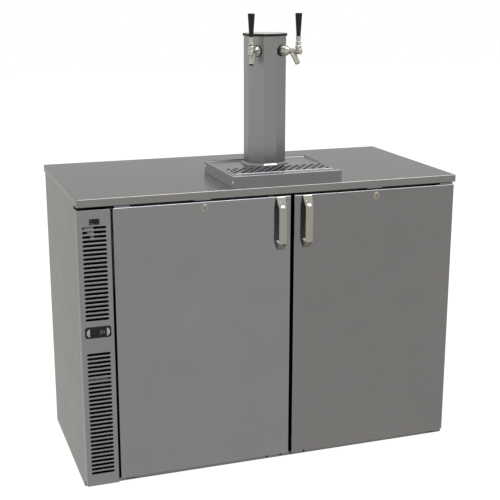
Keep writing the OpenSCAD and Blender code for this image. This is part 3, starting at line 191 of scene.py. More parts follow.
def capped(grid, first=True, last=True):
    """Closes a grid's end rows with a flat fan to the middle of each."""
    fans = [np.broadcast_to((row.min(0) + row.max(0)) / 2, row.shape)[None]
            for row in (grid[0], grid[-1])]
    return np.concatenate(([fans[0]] if first else []) + [grid] + ([fans[1]] if last else []))


def piece(name, grids, material, body, replaces=(), outward=None, sharp=38):
    """One mesh from grids of points, rows x columns x 3: four neighbours make a face, and rows that
    meet are welded. Normals are made consistent; an open sheet is turned to face outward."""
    points, faces, start = [], [], 0
    for grid in grids:
        index = start + np.arange(grid.shape[0] * grid.shape[1]).reshape(grid.shape[:2])
        start += index.size
        points.append(grid.reshape(-1, 3))
        faces.append(np.stack([index[:-1, :-1], index[:-1, 1:], index[1:, 1:], index[1:, :-1]], -1)
                     .reshape(-1, 4))
    mesh = bpy.data.meshes.new(name)
    mesh.from_pydata(part(np.concatenate(points)), [], np.concatenate(faces))
    bm = bmesh.new()
    bm.from_mesh(mesh)
    bmesh.ops.remove_doubles(bm, verts=bm.verts, dist=2e-6)
    bmesh.ops.dissolve_degenerate(bm, edges=bm.edges, dist=1e-7)
    bmesh.ops.recalc_face_normals(bm, faces=bm.faces)
    if outward is not None and sum(f.calc_area() * f.normal.dot(outward) for f in bm.faces) < 0:
        bmesh.ops.reverse_faces(bm, faces=bm.faces)
    bm.to_mesh(mesh)
    bm.free()
    mesh.polygons.foreach_set("use_smooth", np.ones(len(mesh.polygons), bool))
    mesh.set_sharp_from_angle(angle=np.radians(sharp))
    mesh.materials.append(material)
    made = bpy.data.objects.new(name, mesh)
    bpy.context.scene.collection.objects.link(made)
    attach(made, body)
    if replaces:
        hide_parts(*replaces)
    return made


def brushed_stainless(name, code, grain_axis, roughness, streak=0.05, edge_tint=1.0):
    """304 stainless steel with a No. 4 belt-brushed finish: soft reflections with a fine grain. The
    belt leaves scratches 0.1 mm wide and some 20 mm long, too fine to show, so they are drawn 0.5 mm
    wide; they vary colour and roughness a little and tilt the surface by microns. Faint wipe marks
    150 mm across lie over them."""
    steel = bpy.data.materials.new(name)
    steel.use_nodes = True
    steel.node_tree.nodes.clear()
    place = add_node(steel, "ShaderNodeTexCoord").outputs["Object"]
    stretch = [2000.0, 2000.0, 2000.0]
    stretch["xyz".index(grain_axis)] = 45.0
    along = add_node(steel, "ShaderNodeMapping", {"Vector": place, "Scale": stretch}).outputs[0]
    scratch = add_node(steel, "ShaderNodeTexNoise", {"Vector": along, "Scale": 1.0,
                                                     "Detail": 2.0}).outputs[0]
    wipe = add_node(steel, "ShaderNodeTexNoise", {"Vector": place, "Scale": 6.5,
                                                  "Detail": 3.0}).outputs[0]
    both = add_node(steel, "ShaderNodeMath", {0: scratch, 1: wipe}, operation="ADD").outputs[0]
    ramp = add_node(steel, "ShaderNodeValToRGB", {"Fac": add_node(
        steel, "ShaderNodeMapRange", {"Value": both, "From Min": 0.6, "From Max": 1.4}).outputs[0]})
    base = np.array(srgb(code))
    ramp.color_ramp.elements[0].color = (*(base[:3] * (1 - streak)), 1)
    ramp.color_ramp.elements[1].color = (*(base[:3] * (1 + streak)), 1)
    rough = add_node(steel, "ShaderNodeMapRange", {
        "Value": both, "From Min": 0.6, "From Max": 1.4,
        "To Min": roughness - 0.03, "To Max": roughness + 0.03})
    bump = add_node(steel, "ShaderNodeBump", {"Height": scratch, "Strength": 0.12, "Distance": 0.00003})
    shader = add_node(steel, "ShaderNodeBsdfPrincipled", {
        "Base Color": ramp.outputs[0], "Metallic": 1.0, "Roughness": rough.outputs[0],
        "Specular Tint": (edge_tint, edge_tint, edge_tint, 1), "Normal": bump.outputs[0]})
    add_node(steel, "ShaderNodeOutputMaterial", {"Surface": shader.outputs[0]})
    return steel


# grain lengthwise; the edge tint holds down the room's glare at a low angle
steel_top = brushed_stainless("brushed stainless, worktop", "#83817e", "x", 0.24, edge_tint=0.785)
top_edge = rounded([(-80, TOP_Z), (0, TOP_Z), (0, SLAB_Z), (-SHEET, SLAB_Z), (-SHEET, TOP_Z - SHEET),
                    (-80, TOP_Z - SHEET)], [0, 2.6, 0.5, 0.5, 0.9, 0], slack=0.2)
top_outline = [(0, 0), (TOP_W, 0), (TOP_W, TOP_D), (0, TOP_D)]
piece("worktop_sheet", [capped(around(top_outline, top_edge, 1.6))], steel_top, "cabinet",
      ["worktop"])


# Left side. Two flat stainless panels over the machine bay, one above the other with a hairline seam,
# each folded inwards at its front edge and screwed from the rear.
def bent_sheet(line, t, lo, hi, axes="xyz"):
    """Sheet of thickness t, bent along a line in one plane and running from lo to hi square to it. The
    inner skin is the line moved t to its left, by t / cos(half the turn) at each bend."""
    line = np.asarray(line, float)
    step = np.diff(line, axis=0)
    step /= np.linalg.norm(step, axis=1, keepdims=True)
    left = np.stack([-step[:, 1], step[:, 0]], 1)
    left = np.concatenate([left[:1], left[:-1] + left[1:], left[-1:]])
    left[1:-1] *= 2 / (left[1:-1] ** 2).sum(1, keepdims=True)
    skins = line, line + t * left
    loop = np.stack([np.column_stack([skins[i], np.full(len(line), h)])
                     for i, h in ((0, lo), (0, hi), (1, hi), (1, lo), (0, lo))], 1)
    ends = [np.stack([loop[i, :2], loop[i, [3, 2]]]) for i in (0, -1)]
    order = ["xyz".index(a) for a in axes]
    grids = [np.empty(g.shape) for g in (loop, *ends)]
    for made, g in zip(grids, (loop, *ends)):
        for i, o in enumerate(order):
            made[..., o] = g[..., i]
    return grids


# grain upright; painted darker and slightly warmer than the doors, as shade away from the softbox
steel_side = brushed_stainless("brushed stainless, side panels, painted darker", "#7c7b71", "z", 0.26, edge_tint=0.77)
SIDE_X, SIDE_Y, RETURN_X, BACK_Y, SEAM_Z, SEAM = 0.5, 53, 14, 586.8, 340, 0.6
side_line = rounded([(SIDE_X, BACK_Y), (SIDE_X, SIDE_Y), (RETURN_X, SIDE_Y)], 2.0)
for label, z0, z1 in (("upper", SEAM_Z, SLAB_Z), ("lower", 0, SEAM_Z - SEAM)):
    piece(f"left_side_{label}", bent_sheet(side_line, SHEET, z0, z1), steel_side, "cabinet",
          [f"left_panel_{label}"])


# Cabinet shell. Foamed walls: stainless outside at the right, galvanised steel behind and below, and a
# pale liner with coved corners inside, which shows when a door is open.
def rectangle(x0, y0, x1, y1):
    """Corners, counter-clockwise."""
    return [(x0, y0), (x1, y0), (x1, y1), (x0, y1)]


def wall_pan(face, inset=60):
    """Profile of the pan over a foamed wall: flat at face, then folded back over the wall's edge."""
    back = face - WALL
    return rounded([(-inset, face), (0, face), (0, back), (-1, back), (-inset, back)],
                   [0, 2.2, 0.3, 0.3, 0])


def painted(name, code, roughness, grain=900.0, depth=0.00002, streak=0.03, metallic=0.0, gloss=0.5):
    """A plain finish with a fine even texture: colour and roughness vary slightly with a noise whose
    grains are 1000 / grain mm wide, and the surface rises and falls by depth."""
    paint = bpy.data.materials.new(name)
    paint.use_nodes = True
    paint.node_tree.nodes.clear()
    place = add_node(paint, "ShaderNodeTexCoord").outputs["Object"]
    fine = add_node(paint, "ShaderNodeTexNoise", {"Vector": place, "Scale": grain,
                                                  "Detail": 2.0}).outputs[0]
    broad = add_node(paint, "ShaderNodeTexNoise", {"Vector": place, "Scale": grain / 40,
                                                   "Detail": 3.0}).outputs[0]
    both = add_node(paint, "ShaderNodeMath", {0: fine, 1: broad}, operation="ADD").outputs[0]
    ramp = add_node(paint, "ShaderNodeValToRGB", {"Fac": add_node(
        paint, "ShaderNodeMapRange", {"Value": both, "From Min": 0.6, "From Max": 1.4}).outputs[0]})
    base = np.array(srgb(code))
    ramp.color_ramp.elements[0].color = (*(base[:3] * (1 - streak)), 1)
    ramp.color_ramp.elements[1].color = (*(base[:3] * (1 + streak)), 1)
    rough = add_node(paint, "ShaderNodeMapRange", {
        "Value": both, "From Min": 0.6, "From Max": 1.4,
        "To Min": roughness * 0.9, "To Max": roughness * 1.1})
    bump = add_node(paint, "ShaderNodeBump", {"Height": fine, "Strength": 0.3, "Distance": depth})
    shader = add_node(paint, "ShaderNodeBsdfPrincipled", {
        "Base Color": ramp.outputs[0], "Metallic": metallic, "Roughness": rough.outputs[0],
        "Specular IOR Level": gloss, "Normal": bump.outputs[0]})
    add_node(paint, "ShaderNodeOutputMaterial", {"Surface": shader.outputs[0]})
    return paint


RIGHT_X, CAB_Y, PLINTH_Z, DECK_Z, WALL = 1216.7, 57.5, 21, 912.9, 30
BULK_X0, ROOM = 100, (150, 75, 1166.7, 839.9)
# vacuum forming leaves a smooth pale skin with a soft sheen
liner = painted("white ABS liner, vacuum formed", "#d3d5d4", 0.38)
# hot-dip zinc: grey metal, mottled by a spangle about 4 mm across
galvanised = painted("galvanised steel sheet", "#8e8f8f", 0.36, grain=260.0, streak=0.08, metallic=1.0)
# a thin grey coat on steel: dull, with some metal left in it
frame_steel = painted("grey coated steel", "#63646e", 0.4, metallic=0.6)
# painted shade: the bulkhead facing the machine bay is drawn dull and nearly black
shade_black_steel = painted("black coated steel, painted shade", "#161617", 0.5, gloss=0.3)
# right side: a pan over the wall, folded round its four edges
piece("right_side_panel", [capped(around(rectangle(CAB_Y, PLINTH_Z, BACK_Y, DECK_Z),
                                         wall_pan(RIGHT_X), 1.5, axes="yzx"))],
      steel_side, "cabinet", ["right_wall"])
piece("rear_panel", [capped(around(rectangle(BULK_X0, PLINTH_Z, RIGHT_X - WALL - 0.4, DECK_Z),
                                   wall_pan(BACK_Y), 1.5, axes="xzy"))],
      galvanised, "cabinet", ["rear_wall"])
bulkhead_line = rounded([(150, BACK_Y - 31), (BULK_X0, BACK_Y - 31), (BULK_X0, CAB_Y),
                         (150, CAB_Y)], 2.0)
piece("bulkhead_sheet", bent_sheet(bulkhead_line, 1, PLINTH_Z, DECK_Z), shade_black_steel, "cabinet",
      ["bulkhead"])
under = rectangle(BULK_X0 + 1, CAB_Y, RIGHT_X - 1, BACK_Y - 1)
piece("cabinet_underside", [capped(around(under, rounded(
    [(-60, PLINTH_Z + 0.2), (-1, PLINTH_Z + 0.2), (-1, PLINTH_Z + 24), (-2, PLINTH_Z + 24),
     (-60, PLINTH_Z + 24)], [0, 1.5, 0.2, 0.2, 0]), 1.5))], galvanised, "cabinet")
# front frame round the opening, then the coved liner
opening = rectangle(*ROOM)
front_outline = rectangle(BULK_X0 + 1, PLINTH_Z, RIGHT_X - 1, DECK_Z)
piece("front_frame", [np.concatenate([
    around(front_outline, [(-1, CAB_Y + 30), (-1, CAB_Y - 0.5)], 1.5, axes="xzy"),
    around(opening, [(3, CAB_Y - 0.5), (0.5, CAB_Y + 1), (0.3, CAB_Y + 3)], 12, axes="xzy")])],
    frame_steel, "cabinet", outward=(0, -1, 0))
piece("cabinet_liner", [capped(around(opening, rounded(
    [(0, CAB_Y + 1), (0, 536.8), (-80, 536.8)], [0, 14, 0]), 12, axes="xzy"), first=False)],
    liner, "cabinet", ["cabinet_ceiling", "cabinet_floor"], outward=(0, -1, 0))


# Base, hinge brackets, lock strikes and the post between the doors keep their CAD shapes: laser-cut and
# folded steel, and an extruded black profile.
def dress(material, slot, *nodes):
    """Gives CAD nodes a material."""
    for name in nodes:
        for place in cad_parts[name].material_slots:
            place.material = material


# a grained mould: black with very little sheen
black_plastic = painted("black ABS, moulded", "#191816", 0.45, gloss=0.18)
# bright zinc plate: a cool grey metal with soft highlights
zinc = painted("zinc-plated steel", "#7d7f82", 0.34, metallic=1.0)
dress(painted("folded steel base", "#747371", 0.34, metallic=1.0), "zinc_steel", "base_frame")
dress(zinc, "zinc_steel", "hinge_brackets", "rear_vent_panel", "lock_strikes")
dress(black_plastic, "black_plastic", "center_mullion")


# Doors. Each is a folded stainless pan filled with foam round a pale inner liner, with a bellows gasket
# pushed into a groove, and a steel leaf on its top edge for the hinge.
FACE_Y, DOOR_Y1, DOOR_Z0, DOOR_Z1, DOOR_W = 3.5, 49.5, 33.5, 882.5, 549.6
DOORS = {"left": 105.5, "right": 666.5}
# brushed finer than the sides, so that the handles are softly mirrored
# the right door's steel is painted darker than the left's, as painted shade
steel_door = {"left": brushed_stainless("brushed stainless, left door", "#868586", "z", 0.13),
              "right": brushed_stainless("brushed stainless, right door, painted darker", "#7d7b79", "z", 0.13)}
# soft extruded PVC: dull black
rubber = painted("black PVC gasket", "#17171a", 0.6, grain=600.0)
for side, x0 in DOORS.items():
    face = rectangle(x0, DOOR_Z0, x0 + DOOR_W, DOOR_Z1)
    leaf_x = x0 + 3 if side == "left" else x0 + DOOR_W - 64
    pan = rounded([(-80, FACE_Y), (-1.3, FACE_Y), (0, FACE_Y + 1.05), (0, DOOR_Y1), (-1.2, DOOR_Y1),
                   (-1.2, FACE_Y + 1.2), (-80, FACE_Y + 1.2)],
                  [0, 0.4, 0.4, 0.3, 0.3, 0.6, 0], slack=0.2)
    piece(f"{side}_door_pan", [
        capped(around(face, pan, 2.4, axes="xzy")),
        capped(around(rectangle(leaf_x, 4.7, leaf_x + 61, 22.7), rounded(
            [(-8, DOOR_Z1 + 1.2), (0, DOOR_Z1 + 1.2), (0, DOOR_Z1 - 0.4)], [0, 0.5, 0], slack=0.1),
            1.0), last=False)],
        steel_door[side], f"{side}_door", [f"{side}_door_skin"])
    piece(f"{side}_door_liner", [capped(around(face, rounded(
        [(-1.3, 30), (-1.3, 49.4), (-34, 49.4), (-42, 43.0), (-120, 43.0)], [0, 0.5, 3, 5, 0]), 3,
        axes="xzy"), first=False)], liner, f"{side}_door", [f"{side}_door_core"],
        outward=(0, 1, 0))
    bellows = [(-14, 49.2), (-14, 51), (-16.5, 52.6), (-14, 54.2), (-13.9, 56.6), (-15, 57.4),
               (-25, 57.4), (-26.1, 56.6), (-26, 54.2), (-23.5, 52.6), (-26, 51), (-26, 49.2),
               (-14, 49.2)]
    piece(f"{side}_gasket", [around(face, rounded(bellows, 0.6, k=2, slack=0), 4, axes="xzy")],
          rubber, f"{side}_door", [f"{side}_door_gasket"])


# Locks. A nickel-plated cam lock in the middle of each door's top: a bevelled plate pressed over its
# hole, and a turning plug with a key slot in front and a flat cam behind.
def turned(profile, at, axis, n=48, flute=None):
    """A profile of points (s, r) turned about an axis: at + s a + r (cos u e + sin u f). A flute makes
    r dip by flute[1] at flute[0] places round it between the heights flute[2] and flute[3]."""
    profile, a = np.asarray(profile, float), np.asarray(axis, float) / np.linalg.norm(axis)
    e = np.cross(a, (0, 0, 1) if abs(a[2]) < 0.9 else (1, 0, 0))
    e /= np.linalg.norm(e)
    u = np.linspace(0, 2 * np.pi, n + 1)[None, :, None]
    r = np.repeat(profile[:, None, 1:], n + 1, 1)
    if flute:
        dip = flute[1] * (0.5 - 0.5 * np.cos(flute[0] * u))
        r = np.where(((profile[:, :1] > flute[2]) & (profile[:, :1] < flute[3]))[..., None], r - dip, r)
    return at + profile[:, None, :1] * a + r * (np.cos(u) * e + np.sin(u) * np.cross(a, e))


def slot_rows(border, centre, length, width, angle, levels):
    """Rows from a closed border to a slot with round ends. A ray at angle t from the slot's middle
    meets the slot of half length h and end radius R at R / |sin t| on its sides, and at
    h |cos t| + sqrt(R^2 - (h sin t)^2) on its ends. Each level is (growth of R, depth)."""
    border = np.asarray(border, float)
    out = border - centre
    span = np.linalg.norm(out, axis=1, keepdims=True)
    c, s = np.cos(angle), np.sin(angle)
    t = np.abs((out / span) @ np.array([[c, -s], [s, c]]))
    rows, half = [], (length - width) / 2
    for growth, depth in levels:
        if growth is None:
            flat = border
        else:
            big = width / 2 + growth
            straight = big / np.maximum(t[:, 1], 1e-9)
            ends = half * t[:, 0] + np.sqrt(np.maximum(big ** 2 - (half * t[:, 1]) ** 2, 0))
            flat = centre + out / span * np.where(straight * t[:, 0] <= half, straight, ends)[:, None]
        rows.append(np.column_stack([flat, np.full(len(flat), depth)]))
    return np.stack(rows)


def laid(grid, axes):
    """The same grid with its three columns read as the named axes."""
    return np.stack([grid[..., axes.index(a)] for a in "xyz"], -1)


# nickel plate: a warm grey metal with soft highlights
nickel = painted("nickel-plated brass", "#9a988b", 0.3, metallic=1.0)
LOCK_Z = 864
for side, x0 in DOORS.items():
    x = x0 + DOOR_W / 2
    at = (x, FACE_Y, LOCK_Z)
    plate = rounded([(-7.4, 9.4), (0, 9.4), (0, 11.5), (1.1, 11.5), (2.0, 10.2), (2.0, 6.6), (1.4, 6.1),
                     (-7.4, 6.1)], [0, 0, 0, 0.4, 0.5, 0.3, 0.2, 0], slack=0)
    piece(f"{side}_lock_plate", [turned(plate, at, (0, -1, 0))], nickel, f"{side}_door",
          [f"{side}_door_lock"])
    turn = np.linspace(0, 2 * np.pi, 41)
    ring = np.column_stack([x + 5.6 * np.cos(turn), LOCK_Z + 5.6 * np.sin(turn)])
    face_y = FACE_Y - 2.7
    key = slot_rows(ring, (x, LOCK_Z), 7, 3.0, np.pi / 2,
                    [(None, face_y), (0.15, face_y), (0, face_y + 0.15), (0, face_y + 3)])
    plug = turned([(2.7, 5.6), (2.3, 6.0), (-9.9, 6.0), (-9.9, 0)], at, (0, -1, 0))
    cam = capped(around(rectangle(x, LOCK_Z - 4, x + 25, LOCK_Z + 4), [(0, 11.4), (0, 13.4)], 3.6,
                        axes="xzy"))
    piece(f"{side}_lock_plug_turned", [laid(key, "xzy"), plug, cam], nickel, f"{side}_lock_plug",
          [f"{side}_lock_plug"])
    # painted shade: a black disc set inside the key slot keeps the keyhole dark
    piece(f"{side}_lock_keyhole_shade", [turned([(1.4, 4.6), (1.4, 0)], at, (0, -1, 0), 24)], black_plastic,
          f"{side}_lock_plug", outward=(0, -1, 0))


# Door handles. A satin steel strap bent from one strip: a plate riveted on the door's top edge, a slant
# with an oval white cap over its screw, an upright grip backed by a white nylon pad, and a foot turned
# back to the door round a nylon spacer with a white top. The pad and the spacer's top are white as
# painted light: they lighten the grip's mirror image in the door and give a glint at the foot.

# lighter than the doors, with a long soft highlight down the grip
satin = brushed_stainless("satin steel strap", "#9d9b8f", "z", 0.2, 0.03)
# moulded nylon, in plain mid grey for the spacer and in white for the rest
grey_pad = painted("grey nylon spacer", "#6d6d6b", 0.5, gloss=0.2)
white_cap = painted("white nylon cap", "#f3f3f1", 0.35, streak=0.01)


def strap(line, widths, t, x, edge=0.6, k=3):
    """A strip of thickness t bent along a line in the YZ plane. Its section, a w x t rectangle with
    corners of radius edge, is carried along the line: P = (x + a, line + b n), for a point (a, b) of
    the section and the line's normal n."""
    line = np.asarray(line, float)
    step = np.gradient(line, axis=0)
    step /= np.linalg.norm(step, axis=1, keepdims=True)
    n = np.stack([-step[:, 1], step[:, 0]], 1)
    rows = []
    for (y, z), w, (ny, nz) in zip(line, widths, n):
        section = around(rectangle(-w / 2, 0, w / 2, t), [(0, 0)], edge, k, slack=0.2)[0]
        across, deep = section[:, 0], section[:, 1]
        rows.append(np.column_stack([x + across, y + deep * ny, z + deep * nz]))
    return capped(np.array(rows))


PLATE_W, PLATE_Z, STRAP_IN, STRAP_T, STRAP_W, NECK_W = 75, DOOR_Z1 + 2, 40.65, 3, 24, 30.5
GRIP_Y, GRIP_Z0, GRIP_Z1, FOOT = -20, 739, 848.5, (3.4, 715.5)
for side, plate_x in (("left", DOORS["left"] + DOOR_W - PLATE_W), ("right", DOORS["right"])):
    x = plate_x + STRAP_IN
    line = rounded([(23, PLATE_Z), (0.8, PLATE_Z), (GRIP_Y, GRIP_Z1), (GRIP_Y, GRIP_Z0), FOOT],
                   [0, 8.0, 7, 3, 0], k=6, slack=0.2)
    widths = np.interp(-line[:, 1], [0.5 - PLATE_Z, -GRIP_Z1], [NECK_W, STRAP_W])
    piece(f"{side}_handle_strap", [
        strap(line, widths, STRAP_T, x),
        capped(around(rectangle(plate_x, FACE_Y + 0.6, plate_x + PLATE_W, 23.5), rounded(
            [(-5, DOOR_Z1 + 1.5), (0, DOOR_Z1 + 1.5), (0, DOOR_Z1)], [0, 0.5, 0], slack=0.1), 1.0))],
        satin, f"{side}_door", [f"{side}_door_handle"])
    # painted light: the pad is white so that the grip's back, mirrored in the door, looks lighter
    piece(f"{side}_handle_pad", [strap([(-16.9, 846), (-16.9, 748)], [21, 21], 0.8, x)],
          white_cap, f"{side}_door")
    across_x = rounded([(-1, x - 11), (0, x - 11), (0, x + 11), (-1, x + 11)], [0, 0.4, 0.4, 0],
                       slack=0)
    # the spacer's top is white as painted light: lit from above, it gives a glint at the foot
    for label, outline, nylon in (
            ("spacer", [(3.4, 718.5), (3.4, 740.4), (-17, 740.0), (-17, 739.5)], grey_pad),
            ("spacer_glint_top", [(3.4, 740.6), (3.4, 746.0), (-17, 742.4), (-17, 740.2)], white_cap)):
        piece(f"{side}_handle_{label}", [capped(around(outline, across_x, 0.8, axes="yzx"))], nylon,
              f"{side}_door")
    slant = np.arctan2(21.5, 35.5)
    off_slant = np.array([0, -np.cos(slant), np.sin(slant)])
    off_foot = np.array([0, -24, -23.5]) / 33.6
    for label, at, way, r, h, metal in (
            ("button", (x, 1.5 - 29.6 * np.tan(slant), DOOR_Z1 - 28.1), off_slant, 6.6, 1.8, white_cap),
            ("screw", (x - 6, 1.5 - 18 * np.tan(slant), DOOR_Z1 - 16.5), off_slant, 1.9, 0.8, nickel),
            ("foot_screw", (x, -8.3, 728), off_foot, 2.4, 0.8, zinc)):
        t = np.linspace(np.pi / 2, 0, 8)
        dome = np.column_stack([h * 0.55 + h * 0.45 * np.cos(t), r * np.sin(t)])
        grid = turned(np.concatenate([[(-0.5, r)], dome]), at, way)
        if label == "button":  # an oval: 0.7 as high as wide
            rise = np.array([0, np.sin(slant), np.cos(slant)])
            grid = grid - 0.3 * ((grid - at) @ rise)[..., None] * rise
        piece(f"{side}_handle_{label}", [grid], metal, f"{side}_door")


# Louvred panel. Folded stainless steel with punched slots, over the machine bay. A gusset is welded in
# its upper left corner and shows through the first slots; behind the others hang two pads of black
# foam, the lower one held by a clip: painted shade that keeps those slots black.
def cell(x0, z0, x1, z1, nx, nz):
    """Border of a rectangle, walked counter-clockwise in equal steps and closed."""
    x, z = np.linspace(x0, x1, nx + 1), np.linspace(z0, z1, nz + 1)
    return np.concatenate([np.column_stack([x, np.full(nx + 1, z0)])[:-1],
                           np.column_stack([np.full(nz + 1, x1), z])[:-1],
                           np.column_stack([x[::-1], np.full(nx + 1, z1)])[:-1],
                           np.column_stack([np.full(nz + 1, x0), z[::-1]])])


# grain upright, in a tone close to the doors
steel_grille = brushed_stainless("brushed stainless, louvred panel", "#878687", "z", 0.25,
                                 edge_tint=0.77)
GX0, GX1, GZ0, GZ1, BEND = 0.5, 98.6, 21, 882.5, 2.0
PITCH, SLOT_X, SLOT_L, SLOT_W = 13.15, 49.5, 70.6, 8
SWITCH_X, SWITCH_Z, CON_X, CON_Z = 50.6, 847, 50.15, 513.5
# two fields, each with a hole for a fitting at its head and a column of louvres under it
slots, field_top = [], GZ1 - BEND
for hole_z, hole_x, hole_l, hole_w, first_z, count in ((SWITCH_Z, SWITCH_X, 26, 12, 829.4, 22),
                                                       (CON_Z, CON_X, 60, 24, 445, 30)):
    slots.append((hole_z, first_z + PITCH / 2, field_top, hole_x, hole_l, hole_w))
    slots += [(first_z - i * PITCH, first_z - (i + 0.5) * PITCH, first_z - (i - 0.5) * PITCH,
               SLOT_X, SLOT_L, SLOT_W) for i in range(count)]
    field_top = first_z - (count - 0.5) * PITCH
front = []
for z, z0, z1, x, length, width in slots:
    front.append(laid(slot_rows(cell(GX0 + BEND, z0, GX1 - BEND, z1, 12, 8), (x, z), length, width, 0, [
        (None, FACE_Y), (0.5, FACE_Y), (0.2, FACE_Y + 0.05), (0, FACE_Y + 0.25), (0, FACE_Y + 1.0),
        (0.4, FACE_Y + 1.0)]), "xzy"))
front.append(np.array([[(GX0 + BEND, FACE_Y, GZ0 + BEND), (GX1 - BEND, FACE_Y, GZ0 + BEND)],
                       [(GX0 + BEND, FACE_Y, field_top), (GX1 - BEND, FACE_Y, field_top)]]))
front.append(around(rectangle(GX0, GZ0, GX1, GZ1), rounded(
    [(-BEND, FACE_Y), (0, FACE_Y), (0, 29.5), (-1.5, 29.5), (-1.5, 5.2)], [0, BEND - 0.01, 0.2, 0.2, 0],
    slack=0), BEND, axes="xzy", slack=0))
piece("louvred_panel", front + bent_sheet([(0.5, 52.3), (0.5, 29.4)], 1.5, GZ0 + 1.5, GZ1 - 1.5)
      + [np.array([[(2, 25, 881), (51.5, 25, 881)], [(2, 25, 854), (51.5, 25, 785)]], float)],
      steel_grille, "cabinet", ["grille_panel"], outward=(0, -1, 0))
# painted shade: black open-cell foam behind the slots, pitted, giving back almost no light
shade_foam = painted("black foam, painted shade", "#0a0a0a", 0.9, grain=500.0, depth=0.0004, gloss=0.05)
for label, z0, z1 in (("upper", 546, 838), ("lower", 55, 453)):
    piece(f"black_shade_foam_{label}", [capped(around(rectangle(6, z0, 93, z1), [(0, 30.5), (0, 27.5)], 3,
                                                axes="xzy", slack=0))],
          shade_foam, "cabinet")
piece("black_shade_foam_clip", [capped(around(rectangle(6, 351, 93, 367), [(0, 27.4), (0, 26.6)], 1,
                                        axes="xzy", slack=0))], frame_steel, "cabinet")


# Power switch. A black rocker in a snap-in bezel, near the panel's top.
def centred(x, z, width, height):
    """A rectangle's corners, from its middle and its size."""
    return rectangle(x - width / 2, z - height / 2, x + width / 2, z + height / 2)


# a polished mould: black, with a clearer sheen than the bezel
gloss_black = painted("black ABS, polished", "#161513", 0.25, gloss=0.2)
switch = centred(SWITCH_X, SWITCH_Z, 30.2, 17.3)
piece("switch_bezel_ring", [around(switch, rounded(
    [(-1.5, 15), (-1.5, FACE_Y), (0, FACE_Y), (0, 2.3), (-2.5, 2.3), (-2.5, 13.5)],
    [0, 0, 0, 0.6, 0.6, 0], slack=0.1), 1.6, axes="xzy")], black_plastic, "cabinet",
    ["switch_bezel"], outward=(0, -1, 0))
dress(gloss_black, "black_gloss", "switch_rocker")


# Controller. A panel thermometer snapped into the louvred panel: black face, smoked window with its
# figures unlit, and a pale half-round button at each end.
CON_Y = 1.0
control = centred(CON_X, CON_Z, 77.7, 34.1)
piece("controller_face", [capped(around(control, rounded(
    [(-16, CON_Y), (0, CON_Y), (0, FACE_Y), (-3.2, FACE_Y + 0.1), (-3.2, 58.5)], [0, 1.0, 0.2, 0, 0],
    slack=0.1), 7, axes="xzy"))], black_plastic, "cabinet", ["controller_housing"],
    outward=(0, -1, 0))
# tinted acrylic: black from outside, with a sharp reflection
smoked = painted("smoked acrylic window", "#161412", 0.1, gloss=0.2)
piece("controller_window", [capped(around(centred(CON_X, CON_Z, 40, 21), rounded(
    [(-6, CON_Y - 0.35), (0, CON_Y - 0.35), (0, CON_Y + 0.2)], [0, 0.3, 0], slack=0.1), 1.5,
    axes="xzy"), last=False)], smoked, "cabinet", ["controller_display"],
    outward=(0, -1, 0))
# segments that are off show as dull grey strokes
unlit = painted("unlit figures", "#6f6e68", 0.5)
bars = []
for x, lit in ((CON_X + 6.5, "abgcd"), (CON_X + 15.0, "fgbc")):
    for mark, (bx, bz, w, h) in {"a": (0, 6, 5, 1.3), "g": (0, 0, 5, 1.3), "d": (0, -6, 5, 1.3),
                                 "b": (3, 3, 1.3, 4.6), "c": (3, -3, 1.3, 4.6), "e": (-3, -3, 1.3, 4.6),
                                 "f": (-3, 3, 1.3, 4.6)}.items():
        if mark in lit:
            lean = 0.12 * bz
            bars.append(capped(around(centred(x + bx + lean, CON_Z + bz, w, h),
                                      [(0, CON_Y - 0.3), (0, CON_Y - 0.45)], 0.4, k=2, axes="xzy",
                                      slack=0)))
piece("controller_figures", bars, unlit, "cabinet")
# moulded keycaps: pale grey, nearly matt
key_grey = painted("grey keycap plastic", "#a3a39c", 0.4)
for name, side in (("left", -1), ("right", 1)):
    t = np.linspace(-np.pi / 2, np.pi / 2, 17) + (np.pi if side < 0 else 0)
    half = np.column_stack([CON_X + side * 25.05 + 9.0 * np.cos(t), CON_Z + 12.0 * np.sin(t)])
    # domed face: the rows rise from the cap's edge towards its middle
    rows = [(0, 5.5), (0, 0.9), (-0.5, 0.3), (-1.6, -0.05), (-3.5, -0.2)]
    piece(f"controller_button_{name}_cap", [capped(around(half, rows, 0.2, k=1, axes="xzy", slack=0))],
          key_grey, f"button_{name}", [f"controller_button_{name}"], outward=(0, -1, 0))


# Drip tray. A polished stainless box on the worktop, with a flat rim, end plates riveted at the
# corners, a fixed deck behind that carries the column, and ledges for the grid.

# buffed after brushing: the grain is faint, and runs lengthwise
tray_steel = brushed_stainless("stainless, polished tray", "#777677", "x", 0.28, 0.03)
RIM_Z, TRAY_DECK_Z, MID_X, TRAY_X0, TRAY_X1 = 953, 948, 645.5, 470, 821
TRAY = rectangle(TRAY_X0, 2.5, TRAY_X1, 298)
well = rectangle(477, 29.5, 814, 290)
shell = np.concatenate([
    around(TRAY, rounded([(-40, 914.45), (0, 914.45), (0, RIM_Z), (-3.5, RIM_Z)], [0, 0.8, 2.4, 0],
                         slack=0.2), 1.3),
    around(well, [(0.9, RIM_Z), (0.5, RIM_Z), (0.15, RIM_Z - 0.15), (0, RIM_Z - 0.5), (0, RIM_Z - 1.5),
                  (0.4, RIM_Z - 1.5)], 0.6),
    around(TRAY, [(-3, RIM_Z - 1.5), (-1.5, RIM_Z - 1.9), (-1.5, 918.4), (-2.2, 916.6), (-4, 915.9),
                  (-60, 915.9)], 1.3)])
IN_X0, IN_X1, LEDGE_W, LEDGE_Z = TRAY_X0 + 1.6, TRAY_X1 - 1.6, 11.9, 943.5
deck = bent_sheet(rounded([(296.4, TRAY_DECK_Z), (150.5, TRAY_DECK_Z), (150.5, 916.2)], 1.4), SHEET,
                  IN_X0, IN_X1, "yzx")
